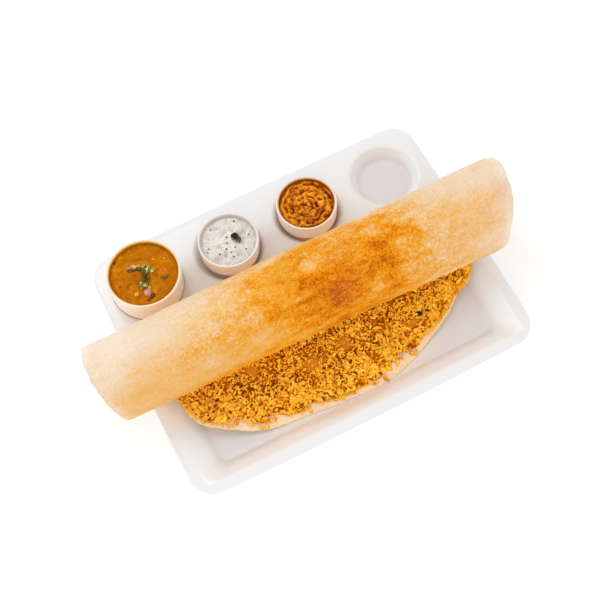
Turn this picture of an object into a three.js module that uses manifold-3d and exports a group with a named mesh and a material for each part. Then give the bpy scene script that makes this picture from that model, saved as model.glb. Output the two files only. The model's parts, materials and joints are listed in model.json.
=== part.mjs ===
// A large crisp dosa rolled over a crumbled filling, served on a rectangular tray with four
// round wells, of which three hold bowls: sambar, coconut chutney and tomato chutney.
// Millimetres, +Z up. Shapes are laid out from the middle of the tray, X along its long side
// and +Y towards the wells; the whole is then moved so that the origin is midway along the dosa.
import * as THREE from 'three';
import { mergeVertices } from 'three/addons/utils/BufferGeometryUtils.js';
import Module from 'manifold-3d';

const wasm = await Module();
wasm.setup();

const gap = 0.3;   // clearance left between pieces that touch

const tray = {
  halfLength: 180.5,
  halfWidth: 136.7,
  cornerRadius: 25,
  rimHeight: 20,
  floorHeight: 7.5,
  footInset: 26,
  footWidth: 7,
  footDepth: 2.6,
};

const mainWell = {
  floor: { halfX: 145, front: -109, back: 22, radius: 9 },
  crest: { halfX: 169, front: -126, back: 41, radius: 16 },
};

const roundWell = {
  count: 4,
  pitch: 88.5,
  firstX: -133.5,
  centreY: 86.9,
  floorRadius: 25.9,
  topRadius: 36.9,
};

const bowlWall = 3.2;
const bowlFloor = 4;
const bowlSides = 24;
// Each bowl stands in one of the wells; shift is how far off the well's centre it stands.
const sambarBowl = { well: 0, shift: [0, 0], rimRadius: 36.7, baseShare: 0.66, rimTop: 50.1, level: 45.7, dome: 0 };
const coconutBowl = { well: 1, shift: [1.3, -0.7], rimRadius: 30.5, baseShare: 0.75, rimTop: 38.9, level: 36.3, dome: 0.6 };
const tomatoBowl = { well: 2, shift: [0, 0], rimRadius: 30.7, baseShare: 0.79, rimTop: 38.9, level: 34.4, dome: 1.6 };

// The dosa is one round crepe. Its front part lies open as a flap, and the rest is rolled.
const crepe = {
  radius: 217,
  thickness: 2,
  centreX: -6.5,
  centreArc: 118,   // along the crepe, from the line where the roll starts to its middle
  lobes: [
    { at: -110, width: 16, rise: -4 },
    { at: -34, width: 13, rise: 12 },
    { at: 12, width: 9, rise: 3 },
    { at: 45, width: 12, rise: 6 },
    { at: 112, width: 19, rise: -8 },
    { at: -82, width: 6, rise: -4 },
    { at: -47.5, width: 5, rise: -15.3 },
    { at: -40, width: 5, rise: 1.4 },
    { at: -24, width: 4, rise: 1.3 },
    { at: -21, width: 8, rise: 3.7 },
    { at: 39, width: 4, rise: -2.3 },
    { at: 44, width: 3, rise: 1.8 },
    { at: 88, width: 7, rise: 2 },
    { at: 106.5, width: 4, rise: -1.8 },
    { at: 118, width: 5, rise: 5 },
  ],
};

// The roll is a slightly tapered tube that rests across the tray's two side rims.
const roll = {
  outerRadius: 41.7,
  radiusSlope: 0.0095,
  centreY: -10.5,
  centreSlope: -0.0175,
  bow: 1.3,         // the middle of the roll lies this much further back than its ends
  tuckStart: 5.1,   // radians turned from the bottom, backwards, over the top and down the front
  tuckEnd: 6.3,
  tuckDepth: 7.5,
};

const flap = {
  length: 97,
  level: 70,      // as far out as this, the flap droops to the tray's floor
  bridge: 165,    // from here on out it stays as high as the rim
  lift: 1.6,
};

const filling = {
  left: -156.5,
  right: 152,
  back: -9,
  margin: 7,
  bays: [
    { at: -152, width: 4, depth: -3 },
    { at: -113, width: 11, depth: 9 },
    { at: -81, width: 9, depth: 7.5 },
    { at: -44, width: 10, depth: 3.2 },
    { at: 50, width: 15, depth: 7.5 },
    { at: 70, width: 4, depth: -2.5 },
    { at: 79, width: 5, depth: 1.5 },
  ],
  thickness: 5.6,
  pile: { height: 10, foot: -72, top: -40, from: 80, to: 150 },   // it rises against the roll, less towards the ends
  clearance: 0.6,
  headroom: 1.2,    // space kept under the roll
  bump: 0.9,
  columns: 30,
  rows: 8,
};

const finish = {
  tray: { color: 0xf1f0ee, roughness: 0.22 },
  bowl: { color: 0xf3ede4, roughness: 0.25 },
  sambar: { color: 0xc8780f, roughness: 0.35 },
  coconut: { color: 0xe8e2da, roughness: 0.6 },
  tomato: { color: 0xcf7d14, roughness: 0.45 },
  crepe: { color: 0xe9a350, roughness: 0.65 },
  filling: { color: 0xeca51c, roughness: 0.7 },
};

const mix = (a, b, t) => a + (b - a) * t;

function smoothStep(from, to, value) {
  const t = Math.min(1, Math.max(0, (value - from) / (to - from)));
  return t * t * (3 - 2 * t);
}

// ---- meshes and solids ----

function indexedGeometry(points, triangles) {
  const geometry = new THREE.BufferGeometry();
  geometry.setAttribute('position', new THREE.Float32BufferAttribute(points.flat(), 3));
  geometry.setIndex(triangles.flat());
  return geometry;
}

function mergedGeometry(geometry) {
  const bare = geometry.clone();
  bare.deleteAttribute('normal');
  bare.deleteAttribute('uv');
  const merged = mergeVertices(bare, 1e-4);
  const kept = [];
  const index = merged.index.array;
  for (let i = 0; i < index.length; i += 3) {
    const [a, b, c] = [index[i], index[i + 1], index[i + 2]];
    if (a !== b && b !== c && c !== a) kept.push(a, b, c);
  }
  merged.setIndex(kept);
  return merged;
}

function toSolid(geometry) {
  const merged = mergedGeometry(geometry);
  return new wasm.Manifold(new wasm.Mesh({
    numProp: 3,
    vertProperties: new Float32Array(merged.attributes.position.array),
    triVerts: new Uint32Array(merged.index.array),
  }));
}

function fromSolid(solid) {
  const mesh = solid.getMesh();
  const geometry = new THREE.BufferGeometry();
  geometry.setAttribute('position', new THREE.BufferAttribute(new Float32Array(mesh.vertProperties), 3));
  geometry.setIndex([...mesh.triVerts]);
  return geometry;
}

function namedMesh(name, geometry, look) {
  const flat = geometry.index ? geometry.toNonIndexed() : geometry;
  flat.computeVertexNormals();
  const mesh = new THREE.Mesh(flat, new THREE.MeshStandardMaterial({ ...look, metalness: 0 }));
  mesh.name = name;
  return mesh;
}

// Turns a radius-height profile about Z. The profile runs anticlockwise seen with the axis on
// the left, so that the faces point out.
function turned(profile, sides) {
  const points = profile.map(([radius, height]) => new THREE.Vector2(radius, height));
  const geometry = new THREE.LatheGeometry(points, sides);
  geometry.rotateX(Math.PI / 2);
  return mergedGeometry(geometry);
}

// A rectangle with round corners as a ring of points, anticlockwise from above.
function roundedRing({ halfX, front, back, radius, height }, cornerSteps = 5) {
  const corners = [
    [halfX - radius, back - radius, 0],
    [-halfX + radius, back - radius, 1],
    [-halfX + radius, front + radius, 2],
    [halfX - radius, front + radius, 3],
  ];
  const ring = [];
  for (const [x, y, quarter] of corners) {
    for (let step = 0; step <= cornerSteps; step += 1) {
      const angle = (quarter + step / cornerSteps) * Math.PI / 2;
      ring.push([x + radius * Math.cos(angle), y + radius * Math.sin(angle), height]);
    }
  }
  return ring;
}

// Joins rings stacked from the bottom up into one closed body.
function stackRings(rings) {
  const count = rings[0].length;
  const points = rings.flat();
  const triangles = [];
  for (let level = 0; level + 1 < rings.length; level += 1) {
    for (let i = 0; i < count; i += 1) {
      const a = level * count + i;
      const b = level * count + (i + 1) % count;
      triangles.push([a, b, b + count], [a, b + count, a + count]);
    }
  }
  const top = (rings.length - 1) * count;
  for (let i = 1; i + 1 < count; i += 1) {
    triangles.push([0, i + 1, i], [top, top + i, top + i + 1]);
  }
  return indexedGeometry(points, triangles);
}

// ---- tray ----

function trayRing(inset, height) {
  return roundedRing({
    halfX: tray.halfLength - inset,
    front: -tray.halfWidth + inset,
    back: tray.halfWidth - inset,
    radius: Math.max(6, tray.cornerRadius - inset * 0.6),
    height,
  });
}

function trayBody() {
  const rim = tray.rimHeight;
  return toSolid(stackRings([
    trayRing(tray.footInset, 0),
    trayRing(tray.footInset - 1.5, 2),
    trayRing(21, 6),
    trayRing(13, rim - 8),
    trayRing(2.5, rim - 6.4),
    trayRing(0.5, rim - 5),
    trayRing(0, rim - 3),
    trayRing(1.2, rim - 1.5),
    trayRing(5, rim - 0.4),
    trayRing(10.5, rim),
  ]));
}

// The wall leans out from the floor to the crest, with a small round at each end.
function mainWellCut() {
  const wall = [[-0.06, 0], [0.02, 0.03], [0.12, 0.13], [0.88, 0.9], [0.97, 0.98], [1, 1.02]];
  const { floor, crest } = mainWell;
  const rings = wall.map(([out, up]) => roundedRing({
    halfX: mix(floor.halfX, crest.halfX, out),
    front: mix(floor.front, crest.front, out),
    back: mix(floor.back, crest.back, out),
    radius: mix(floor.radius, crest.radius, out),
    height: mix(tray.floorHeight, tray.rimHeight, up),
  }));
  return toSolid(stackRings(rings));
}

function roundWellCentre(index) {
  return [roundWell.firstX + roundWell.pitch * index, roundWell.centreY];
}

function roundWellCut(index) {
  const { floorRadius, topRadius } = roundWell;
  const cut = turned([
    [0, tray.floorHeight],
    [floorRadius - 1.5, tray.floorHeight],
    [floorRadius + 0.6, tray.floorHeight + 0.9],
    [topRadius - 0.9, tray.rimHeight - 0.8],
    [topRadius + 0.3, tray.rimHeight + 0.3],
    [0, tray.rimHeight + 0.3],
  ], 28);
  const [x, y] = roundWellCentre(index);
  cut.translate(x, y, 0);
  return toSolid(cut);
}

function footRecess() {
  const inset = tray.footInset + tray.footWidth;
  return toSolid(stackRings([
    trayRing(inset, -1),
    trayRing(inset + 1.5, tray.footDepth),
  ]));
}

function makeTray() {
  let body = trayBody().subtract(mainWellCut()).subtract(footRecess());
  for (let index = 0; index < roundWell.count; index += 1) {
    body = body.subtract(roundWellCut(index));
  }
  return namedMesh('tray', fromSolid(body), finish.tray);
}

// ---- bowls and what is in them ----

const bowlBase = tray.floorHeight + gap;
const bowlCurveHeight = 12.5;
const bowlShoulder = 0.975;

// Outer radius of a bowl at a height above its base: the lower part widens as its well does,
// and the rest is nearly upright.
function bowlRadius(bowl, above) {
  const baseRadius = bowl.baseShare * bowl.rimRadius;
  const shoulder = bowlShoulder * bowl.rimRadius;
  if (above < bowlCurveHeight) {
    return mix(baseRadius, shoulder, 1 - (1 - above / bowlCurveHeight) ** 1.3);
  }
  const up = (above - bowlCurveHeight) / (bowl.rimTop - bowlBase - bowlCurveHeight);
  return mix(shoulder, bowl.rimRadius, up);
}

function bowlOuter(bowl) {
  return [0, 0.2, 0.55, 1].map((step) => {
    const above = step * bowlCurveHeight;
    return [bowlRadius(bowl, above), above];
  });
}

function bowlInner(bowl) {
  const curve = [1, 0.65, 0.42].map((step) => {
    const above = step * bowlCurveHeight;
    return [bowlRadius(bowl, above) - bowlWall, above];
  });
  return [...curve, [0.6 * bowl.rimRadius, bowlFloor], [0, bowlFloor]];
}

function placeInWell(mesh, bowl) {
  const [x, y] = roundWellCentre(bowl.well);
  mesh.position.set(x + bowl.shift[0], y + bowl.shift[1], bowlBase);
  return mesh;
}

function makeBowl(name, bowl) {
  const height = bowl.rimTop - bowlBase;
  const footRadius = 0.5 * bowl.rimRadius;
  const rimRound = 1;
  const profile = [
    [0, rimRound],
    [footRadius, rimRound],
    [footRadius + rimRound, 0],
    ...bowlOuter(bowl),
    [bowl.rimRadius, height - rimRound],
    [bowl.rimRadius - bowlWall / 2, height],
    [bowl.rimRadius - bowlWall, height - rimRound],
    ...bowlInner(bowl),
  ];
  return placeInWell(namedMesh(name, turned(profile, bowlSides), finish.bowl), bowl);
}

// Fills the bowl to its level, with a slightly higher middle where the content is thick.
function makeContent(name, bowl, look) {
  const level = bowl.level - bowlBase;
  const inside = bowlInner(bowl).reverse().filter(([, height]) => height < level - 1);
  const wallRadius = bowlRadius(bowl, level) - bowlWall - gap;
  const profile = [
    ...inside.map(([radius, height]) => [Math.max(0, radius - gap), height + gap]),
    [wallRadius, level],
    [0.7 * wallRadius, level + 0.7 * bowl.dome],
    [0, level + bowl.dome],
  ];
  return placeInWell(namedMesh(name, turned(profile, bowlSides), look), bowl);
}

// ---- dosa ----

// Radius of the crepe's uneven edge, by the angle from the middle of the flap in degrees.
function crepeRadius(angle) {
  const raised = crepe.lobes.map(({ at, width, rise }) => rise * Math.exp(-(((angle - at) / width) ** 2)));
  return raised.reduce((sum, rise) => sum + rise, crepe.radius);
}

// A place on the flat crepe: X, and the distance along it from the start of the roll.
function crepePlace(across, along) {
  const radius = crepeRadius(Math.atan2(across, -along) * 180 / Math.PI);
  return [crepe.centreX + radius * across, crepe.centreArc + radius * along];
}

function rollAt(x) {
  const outer = roll.outerRadius + roll.radiusSlope * x;
  return {
    radius: outer - crepe.thickness / 2,
    y: roll.centreY + roll.centreSlope * x + roll.bow * (1 - (x / crepe.radius) ** 2),
    z: tray.rimHeight + gap + outer,
  };
}

// The roll is round at first, then tucks in by tuckDepth so that it passes over its own start.
function tuckShare(turn) {
  return smoothStep(roll.tuckStart, roll.tuckEnd, turn);
}

function tuckShareSum(turn) {
  const span = roll.tuckEnd - roll.tuckStart;
  const t = Math.min(1, Math.max(0, (turn - roll.tuckStart) / span));
  return span * (t ** 3 - t ** 4 / 2) + Math.max(0, turn - roll.tuckEnd);
}

// Angle turned about the roll's axis after a distance along the crepe, from the bottom backwards.
function turnAt(arc, radius) {
  let turn = arc / radius;
  for (let pass = 0; pass < 12; pass += 1) {
    turn = (arc + roll.tuckDepth * tuckShareSum(turn)) / radius;
  }
  return turn;
}

// Slow dents that keep the roll from being a perfect tube; none where it rests.
function dent(x, turn) {
  const loose = 0.5 - 0.5 * Math.cos(Math.min(turn, 2 * Math.PI));
  return loose * (0.5 * Math.sin(x / 31 + 1.3 * turn) + 0.35 * Math.sin(x / 17 - 2 * turn));
}

function flapHeight(x, arc) {
  const high = tray.rimHeight + gap + crepe.thickness / 2;
  const low = tray.floorHeight + gap + crepe.thickness / 2;
  const forward = smoothStep(0, flap.length, -arc);
  const sag = 1 - smoothStep(flap.level, flap.bridge, Math.abs(x));
  const wave = flap.lift * (0.5 + 0.5 * Math.sin(x / 21 + 1)) * forward * forward;
  return mix(high, low, forward * sag) + wave;
}

// Middle of the sheet at X and a distance along it.
function sheetPoint(x, arc) {
  const tube = rollAt(x);
  if (arc < 0) return new THREE.Vector3(x, tube.y + arc, flapHeight(x, arc));
  const turn = turnAt(arc, tube.radius);
  const radius = tube.radius - roll.tuckDepth * tuckShare(turn) + dent(x, turn);
  return new THREE.Vector3(x, tube.y + radius * Math.sin(turn), tube.z - radius * Math.cos(turn));
}

// Unit normal towards the inside of the roll, which is the top of the flap.
function sheetNormal(x, arc) {
  const reach = 0.5;
  const alongX = sheetPoint(x + reach, arc).sub(sheetPoint(x - reach, arc));
  const alongArc = sheetPoint(x, arc + reach).sub(sheetPoint(x, arc - reach));
  return alongX.cross(alongArc).normalize();
}

function makeDosa() {
  const rows = 62;
  const columns = 14;
  const firstAngle = 3.5 * Math.PI / 180;
  const inner = [];
  const outer = [];
  for (let row = 0; row <= rows; row += 1) {
    const angle = mix(firstAngle, Math.PI - firstAngle, row / rows);
    for (let column = 0; column <= columns; column += 1) {
      const across = mix(-1, 1, column / columns);
      const [x, arc] = crepePlace(across * Math.sin(angle), -Math.cos(angle));
      const middle = sheetPoint(x, arc);
      const normal = sheetNormal(x, arc).multiplyScalar(crepe.thickness / 2);
      inner.push(middle.clone().add(normal).toArray());
      outer.push(middle.clone().sub(normal).toArray());
    }
  }
  return namedMesh('dosa', closedSheet(inner, outer, rows, columns), finish.crepe);
}

// Closes two grids of points, an upper and a lower one, into one body.
function closedSheet(upper, lower, rows, columns) {
  const wide = columns + 1;
  const under = upper.length;
  const triangles = [];
  for (let row = 0; row < rows; row += 1) {
    for (let column = 0; column < columns; column += 1) {
      const a = row * wide + column;
      const b = a + 1;
      const c = a + wide;
      const d = c + 1;
      triangles.push([a, b, d], [a, d, c]);
      triangles.push([under + a, under + d, under + b], [under + a, under + c, under + d]);
    }
  }
  const border = [];
  for (let column = 0; column < columns; column += 1) border.push(column);
  for (let row = 0; row < rows; row += 1) border.push(row * wide + columns);
  for (let column = columns; column > 0; column -= 1) border.push(rows * wide + column);
  for (let row = rows; row > 0; row -= 1) border.push(row * wide);
  border.forEach((a, i) => {
    const b = border[(i + 1) % border.length];
    triangles.push([a, under + b, b], [a, under + a, under + b]);
  });
  return indexedGeometry([...upper, ...lower], triangles);
}

// ---- filling ----

// How far forward the crepe reaches at X, as a distance along it.
function flapEdge(x) {
  const across = x - crepe.centreX;
  let along = -crepe.radius;
  for (let pass = 0; pass < 8; pass += 1) {
    const radius = crepeRadius(Math.atan2(across, -along) * 180 / Math.PI);
    along = -Math.sqrt(radius * radius - across * across);
  }
  return crepe.centreArc + along;
}

// Height of the roll's underside over a place in front of its lowest line.
function rollUnderside(x, arc) {
  const tube = rollAt(x);
  const forward = -arc;
  let turn = 2 * Math.PI;
  let radius = tube.radius;
  for (let pass = 0; pass < 10; pass += 1) {
    radius = tube.radius - roll.tuckDepth * tuckShare(turn) + crepe.thickness / 2;
    turn = 2 * Math.PI - Math.asin(Math.min(0.97, forward / radius));
  }
  return forward / radius < 0.9 ? tube.z - radius * Math.cos(turn) : Infinity;
}

// The heap of crumbs: uneven on top, thin at its edge, and piled up against the roll.
function heapThickness(x, arc, share) {
  const edge = Math.min(1, 5 * share);
  const rise = mix(0.75, 1.5, share);
  const { height, foot, top, from, to } = filling.pile;
  const fade = Math.min(1, 1.8 * share) * (1 - 0.7 * smoothStep(from, to, Math.abs(x)));
  const piled = height * fade * smoothStep(foot, top, arc);
  const lumps = filling.bump * (Math.sin(x / 5.3 + 7 * share) + Math.sin(x / 3.1 - 11 * share));
  return 0.8 + edge * (filling.thickness * rise + piled + lumps * (1 - share));
}

// Strip of bare crepe between the heap and the edge of the flap.
function fillingMargin(x) {
  const bays = filling.bays.map(({ at, width, depth }) => depth * Math.exp(-(((x - at) / width) ** 2)));
  return bays.reduce((sum, depth) => sum + depth, filling.margin);
}

function makeFilling() {
  const { rows, columns } = filling;
  const middle = (filling.left + filling.right) / 2;
  const half = (filling.right - filling.left) / 2;
  const upper = [];
  const lower = [];
  for (let row = 0; row <= rows; row += 1) {
    for (let column = 0; column <= columns; column += 1) {
      const across = -Math.cos(mix(0.09, 0.91, column / columns) * Math.PI) / Math.cos(0.09 * Math.PI);
      const x = middle + half * across;
      const blunt = 0.12 + 0.88 * (1 - Math.abs(across) ** 40);
      const front = mix(-32, flapEdge(x) + fillingMargin(x), blunt);
      const back = mix(-32, filling.back, blunt);
      const arc = mix(front, back, row / rows);
      const bed = flapHeight(x, arc) + crepe.thickness / 2 + filling.clearance;
      const y = rollAt(x).y + arc;
      const ceiling = rollUnderside(x, arc) - filling.headroom;
      const top = Math.min(bed + heapThickness(x, arc, row / rows) * mix(0.5, 1, blunt), ceiling);
      upper.push([x, y, Math.max(top, bed + 0.5)]);
      lower.push([x, y, bed]);
    }
  }
  return namedMesh('filling', closedSheet(upper, lower, rows, columns), finish.filling);
}

// ---- the whole platter ----

function makePlatter() {
  const platter = new THREE.Group();
  platter.add(
    makeTray(),
    makeBowl('bowl_sambar', sambarBowl),
    makeBowl('bowl_coconut', coconutBowl),
    makeBowl('bowl_tomato', tomatoBowl),
    makeContent('sambar', sambarBowl, finish.sambar),
    makeContent('coconut_chutney', coconutBowl, finish.coconut),
    makeContent('tomato_chutney', tomatoBowl, finish.tomato),
    makeDosa(),
    makeFilling(),
  );
  const middle = new THREE.Box3().setFromObject(platter).getCenter(new THREE.Vector3());
  platter.position.x = -middle.x;
  return platter;
}

const root = new THREE.Group();
root.add(makePlatter());
root.updateMatrixWorld(true);

export default root;
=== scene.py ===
import json
import math
import random

import bmesh
import bpy
import numpy as np
from mathutils import Matrix, Vector, geometry, noise

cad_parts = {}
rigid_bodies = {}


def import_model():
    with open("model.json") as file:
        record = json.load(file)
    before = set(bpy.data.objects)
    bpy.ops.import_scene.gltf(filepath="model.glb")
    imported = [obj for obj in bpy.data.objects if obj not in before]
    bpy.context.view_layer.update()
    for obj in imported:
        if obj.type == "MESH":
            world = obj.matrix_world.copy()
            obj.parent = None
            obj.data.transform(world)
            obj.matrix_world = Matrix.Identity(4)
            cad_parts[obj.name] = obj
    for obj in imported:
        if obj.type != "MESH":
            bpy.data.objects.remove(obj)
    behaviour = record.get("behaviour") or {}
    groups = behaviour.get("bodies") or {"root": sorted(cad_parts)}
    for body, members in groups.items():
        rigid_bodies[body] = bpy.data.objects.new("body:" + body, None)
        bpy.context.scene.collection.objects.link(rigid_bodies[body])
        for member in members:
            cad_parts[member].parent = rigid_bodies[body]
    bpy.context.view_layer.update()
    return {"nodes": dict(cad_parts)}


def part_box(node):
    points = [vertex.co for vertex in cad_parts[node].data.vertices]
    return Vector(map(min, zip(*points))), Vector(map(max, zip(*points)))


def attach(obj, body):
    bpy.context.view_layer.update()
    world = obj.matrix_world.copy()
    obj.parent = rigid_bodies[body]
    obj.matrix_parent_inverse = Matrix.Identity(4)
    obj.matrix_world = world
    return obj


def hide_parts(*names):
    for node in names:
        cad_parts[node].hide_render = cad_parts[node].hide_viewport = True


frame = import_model()
print("frame loaded:", ", ".join(sorted(frame["nodes"])))

# Shapes are laid out in millimetres from the middle of the tray's foot, X along its long side.
mm = 0.001
trayLow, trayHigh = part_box("tray")
trayMiddle = np.array([(trayLow.x + trayHigh.x) / 2, (trayLow.y + trayHigh.y) / 2, trayLow.z])


# numbers and noise

def mix(a, b, share):
    return a + (b - a) * share


def smoothStep(start, end, value):    # 0 up to the start and 1 from the end, whichever way they lie
    t = np.clip((value - start) / (end - start), 0, 1)
    return t * t * (3 - 2 * t)


def bump(value, width):
    return np.exp(-((value / width) ** 2))


def within(value, start, full, fading, end):    # 1 in the middle and 0 at both sides
    return smoothStep(start, full, value) * smoothStep(end, fading, value)


def awayFrom(x, y, atX, atY, reachX, reachY):    # square of the distance, 1 at the reach
    return ((x - atX) / reachX) ** 2 + ((y - atY) / reachY) ** 2


def overPlane(measure, x, y, size, shift):    # what the measure says at each place, size in mm
    places = zip((np.ravel(x) / size).tolist(), (np.ravel(y) / size).tolist())
    return np.array([measure(Vector((u, v, shift))) for u, v in places]).reshape(np.shape(x))


def lumpy(x, y, size, octaves, shift):    # smooth random heights, about -1 to 1
    return overPlane(lambda at: noise.fractal(at, 1.0, 2.0, octaves), x, y, size, shift)


def cellEdges(x, y, size, shift):    # 0 on the lines between cells, rising into each cell
    def apart(at):
        nearest, second = noise.voronoi(at)[0][:2]
        return second - nearest

    return overPlane(apart, x, y, size, shift)


def smoothLine(points, steps):    # a curve through the points
    points = np.asarray(points, float)
    padded = np.vstack([2 * points[0] - points[1], points, 2 * points[-1] - points[-2]])
    line = []
    for i in range(1, len(padded) - 2):
        a, b, c, d = padded[i - 1:i + 3]
        for step in range(steps):
            t = step / steps
            line.append(0.5 * (2 * b + (c - a) * t + (2 * a - 5 * b + 4 * c - d) * t ** 2
                               + (3 * b - a - 3 * c + d) * t ** 3))
    line.append(points[-1])
    return np.array(line)


def colour(code):    # a colour code as the linear numbers that a socket takes
    parts = [int(code[i:i + 2], 16) / 255 for i in (0, 2, 4)]
    return tuple(c / 12.92 if c < 0.04045 else ((c + 0.055) / 1.055) ** 2.4 for c in parts) + (1.0,)


# meshes and pieces

def makeMesh(name, points, faces):
    mesh = bpy.data.meshes.new(name)
    mesh.from_pydata((trayMiddle + mm * np.asarray(points, float)).tolist(), [], faces)
    mesh.shade_smooth()
    return mesh


def showPiece(name, mesh, finish, replaces=()):
    mesh.materials.clear()
    mesh.materials.append(finish)
    piece = bpy.data.objects.new(name, mesh)
    bpy.context.scene.collection.objects.link(piece)
    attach(piece, "root")
    if replaces:
        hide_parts(*replaces)


def storeValues(mesh, **values):    # a number for each point, by name
    for name, numbers in values.items():
        kept = mesh.attributes.get(name) or mesh.attributes.new(name, "FLOAT", "POINT")
        kept.data.foreach_set("value", np.ravel(numbers).astype(np.float32))


def storePlaces(mesh, name, vectors):    # and a place for each point
    kept = mesh.attributes.new(name, "FLOAT_VECTOR", "POINT")
    kept.data.foreach_set("vector", np.ravel(vectors).astype(np.float32))


def circle(centre, radius, height, sides):
    turns = [2 * math.pi * i / sides for i in range(sides)]
    return [(centre[0] + radius * math.cos(turn), centre[1] + radius * math.sin(turn), height)
            for turn in turns]


def ringFaces(rings, count, start=0):    # joins rings of points stacked one after another
    faces = []
    for ring in range(rings - 1):
        a = start + ring * count
        for i in range(count):
            j = (i + 1) % count
            faces.append((a + i, a + j, a + count + j, a + count + i))
    return faces


def turned(profile, sides):    # radius and height along a profile with both ends on the axis
    points, faces, starts = [], [], []
    for radius, height in profile:
        starts.append(len(points))
        points += [(0, 0, height)] if radius < 1e-6 else circle((0, 0), radius, height, sides)
    starts.append(len(points))
    for level in range(len(profile) - 1):
        low, high, end = starts[level:level + 3]
        for i in range(sides):
            j = (i + 1) % sides
            if high - low == 1:
                faces.append((low, high + j, high + i))
            elif end - high == 1:
                faces.append((low + i, low + j, high))
            else:
                faces.append((low + i, low + j, high + j, high + i))
    return np.array(points), faces


def sheetFaces(rows, columns):    # faces of a grid of points
    wide = columns + 1
    corners = [row * wide + column for row in range(rows) for column in range(columns)]
    return [(a, a + 1, a + wide + 1, a + wide) for a in corners]


def closedSheet(rows, columns):    # faces of two grids, the upper one first, and of their border
    wide = columns + 1
    under = (rows + 1) * wide
    faces = []
    for a, b, c, d in sheetFaces(rows, columns):
        faces += [(a, b, c, d), (under + a, under + d, under + c, under + b)]
    border = list(range(columns)) + [row * wide + columns for row in range(rows)]
    border += [rows * wide + column for column in range(columns, 0, -1)]
    border += [row * wide for row in range(rows, 0, -1)]
    for a, b in zip(border, border[1:] + border[:1]):
        faces.append((a, under + a, under + b, b))
    return faces


# finishes

class Wire:    # an output socket that can be added, scaled and so on
    def __init__(self, finish, socket):
        self.finish = finish
        self.socket = socket

    def __add__(self, other):
        return self.finish.math("ADD", self, other)

    def __sub__(self, other):
        return self.finish.math("SUBTRACT", self, other)

    def __rsub__(self, other):
        return self.finish.math("SUBTRACT", other, self)

    def __mul__(self, other):
        return self.finish.math("MULTIPLY", self, other)

    __radd__ = __add__
    __rmul__ = __mul__


class Finish:    # a material and the few kinds of node it is made of
    def __init__(self, name, **fixed):
        self.material = bpy.data.materials.new(name)
        self.material.use_nodes = True
        self.tree = self.material.node_tree
        self.tree.nodes.clear()
        output = self.tree.nodes.new("ShaderNodeOutputMaterial")
        self.surface = self.tree.nodes.new("ShaderNodeBsdfPrincipled")
        self.tree.links.new(self.surface.outputs[0], output.inputs[0])
        for socket, value in fixed.items():
            self.surface.inputs[socket.replace("_", " ")].default_value = value

    def node(self, kind, settings=None, inputs=None, output=0):
        made = self.tree.nodes.new(kind)
        for key, value in (settings or {}).items():
            if key == "stops":
                self.setStops(made.color_ramp.elements, value)
            else:
                setattr(made, key, value)
        for key, value in (inputs or {}).items():
            self.feed(made.inputs[key], value)
        return Wire(self, made.outputs[output])

    def setStops(self, elements, stops):    # position and colour of each stop of a ramp
        while len(elements) < len(stops):
            elements.new(0.5)
        for element, (position, code) in zip(elements, stops):
            element.position = position
            element.color = colour(code)

    def feed(self, socket, value):
        if isinstance(value, Wire):
            self.tree.links.new(value.socket, socket)
        else:
            socket.default_value = value

    def math(self, operation, a, b):
        return self.node("ShaderNodeMath", {"operation": operation}, {0: a, 1: b})

    def value(self, name, output="Fac"):    # what a mesh stores under a name
        return self.node("ShaderNodeAttribute", {"attribute_name": name}, output=output)

    def place(self, name=None, stretch=(1, 1, 1), turn=(0, 0, 0), shift=(0, 0, 0)):
        source = (self.value(name, "Vector") if name
                  else self.node("ShaderNodeTexCoord", output="Object"))
        return self.node("ShaderNodeMapping", inputs={
            "Vector": source, "Scale": stretch, "Rotation": turn, "Location": shift})

    def axis(self, place, number):    # X, Y or Z of a place, in metres
        return self.node("ShaderNodeSeparateXYZ", inputs={0: place}, output=number)

    def noise(self, place, size, detail=3.0, roughness=0.55, distortion=0.0):    # size in mm
        return self.node("ShaderNodeTexNoise", inputs={
            "Vector": place, "Scale": 1 / (size * mm), "Detail": detail,
            "Roughness": roughness, "Distortion": distortion})

    def cell(self, place, size):    # how far the middle of the nearest cell is
        return self.node("ShaderNodeTexVoronoi", inputs={"Vector": place, "Scale": 1 / (size * mm)})

    def span(self, value, start, end, low=0.0, high=1.0):
        return self.node("ShaderNodeMapRange", {"interpolation_type": "SMOOTHSTEP"}, {
            "Value": value, "From Min": start, "From Max": end, "To Min": low, "To Max": high})

    def fall(self, value, start, end):    # 1 up to the start and 0 from the end
        return self.span(value, start, end, 1.0, 0.0)

    def within(self, value, start, full, fading, end):    # 1 in the middle and 0 at both sides
        return self.span(value, start, full) * self.fall(value, fading, end)

    def unevenness(self, *layers):    # noises and their weights, added up about nought
        return sum(weight * (layer - 0.5) for layer, weight in layers)

    def ramp(self, value, stops):
        return self.node("ShaderNodeValToRGB", {"stops": stops}, {0: value})

    def blend(self, share, a, b, mode="MIX"):
        a, b = (colour(c) if isinstance(c, str) else c for c in (a, b))
        settings = {"data_type": "RGBA", "blend_type": mode}
        return self.node("ShaderNodeMix", settings, {0: share, 6: a, 7: b}, 2)

    def layered(self, base, *layers):    # shares and colours laid over a base, one after another
        for share, over in layers:
            base = self.blend(share, base, over)
        return base

    def glow(self, share, code):    # faint light of its own, thrown back or coming through
        self.feed(self.surface.inputs["Emission Color"], self.blend(share, "000000", code))

    def relief(self, *layers):    # pairs of height and depth in mm
        normal = None
        for height, depth in layers:
            inputs = {"Height": height, "Distance": depth * mm, "Strength": 1.0}
            if normal:
                inputs["Normal"] = normal
            normal = self.node("ShaderNodeBump", inputs=inputs)
        self.feed(self.surface.inputs["Normal"], normal)

    def finished(self, base, roughness=None):
        self.feed(self.surface.inputs["Base Color"], base)
        if roughness is not None:
            self.feed(self.surface.inputs["Roughness"], roughness)
        return self.material


# tray

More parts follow.
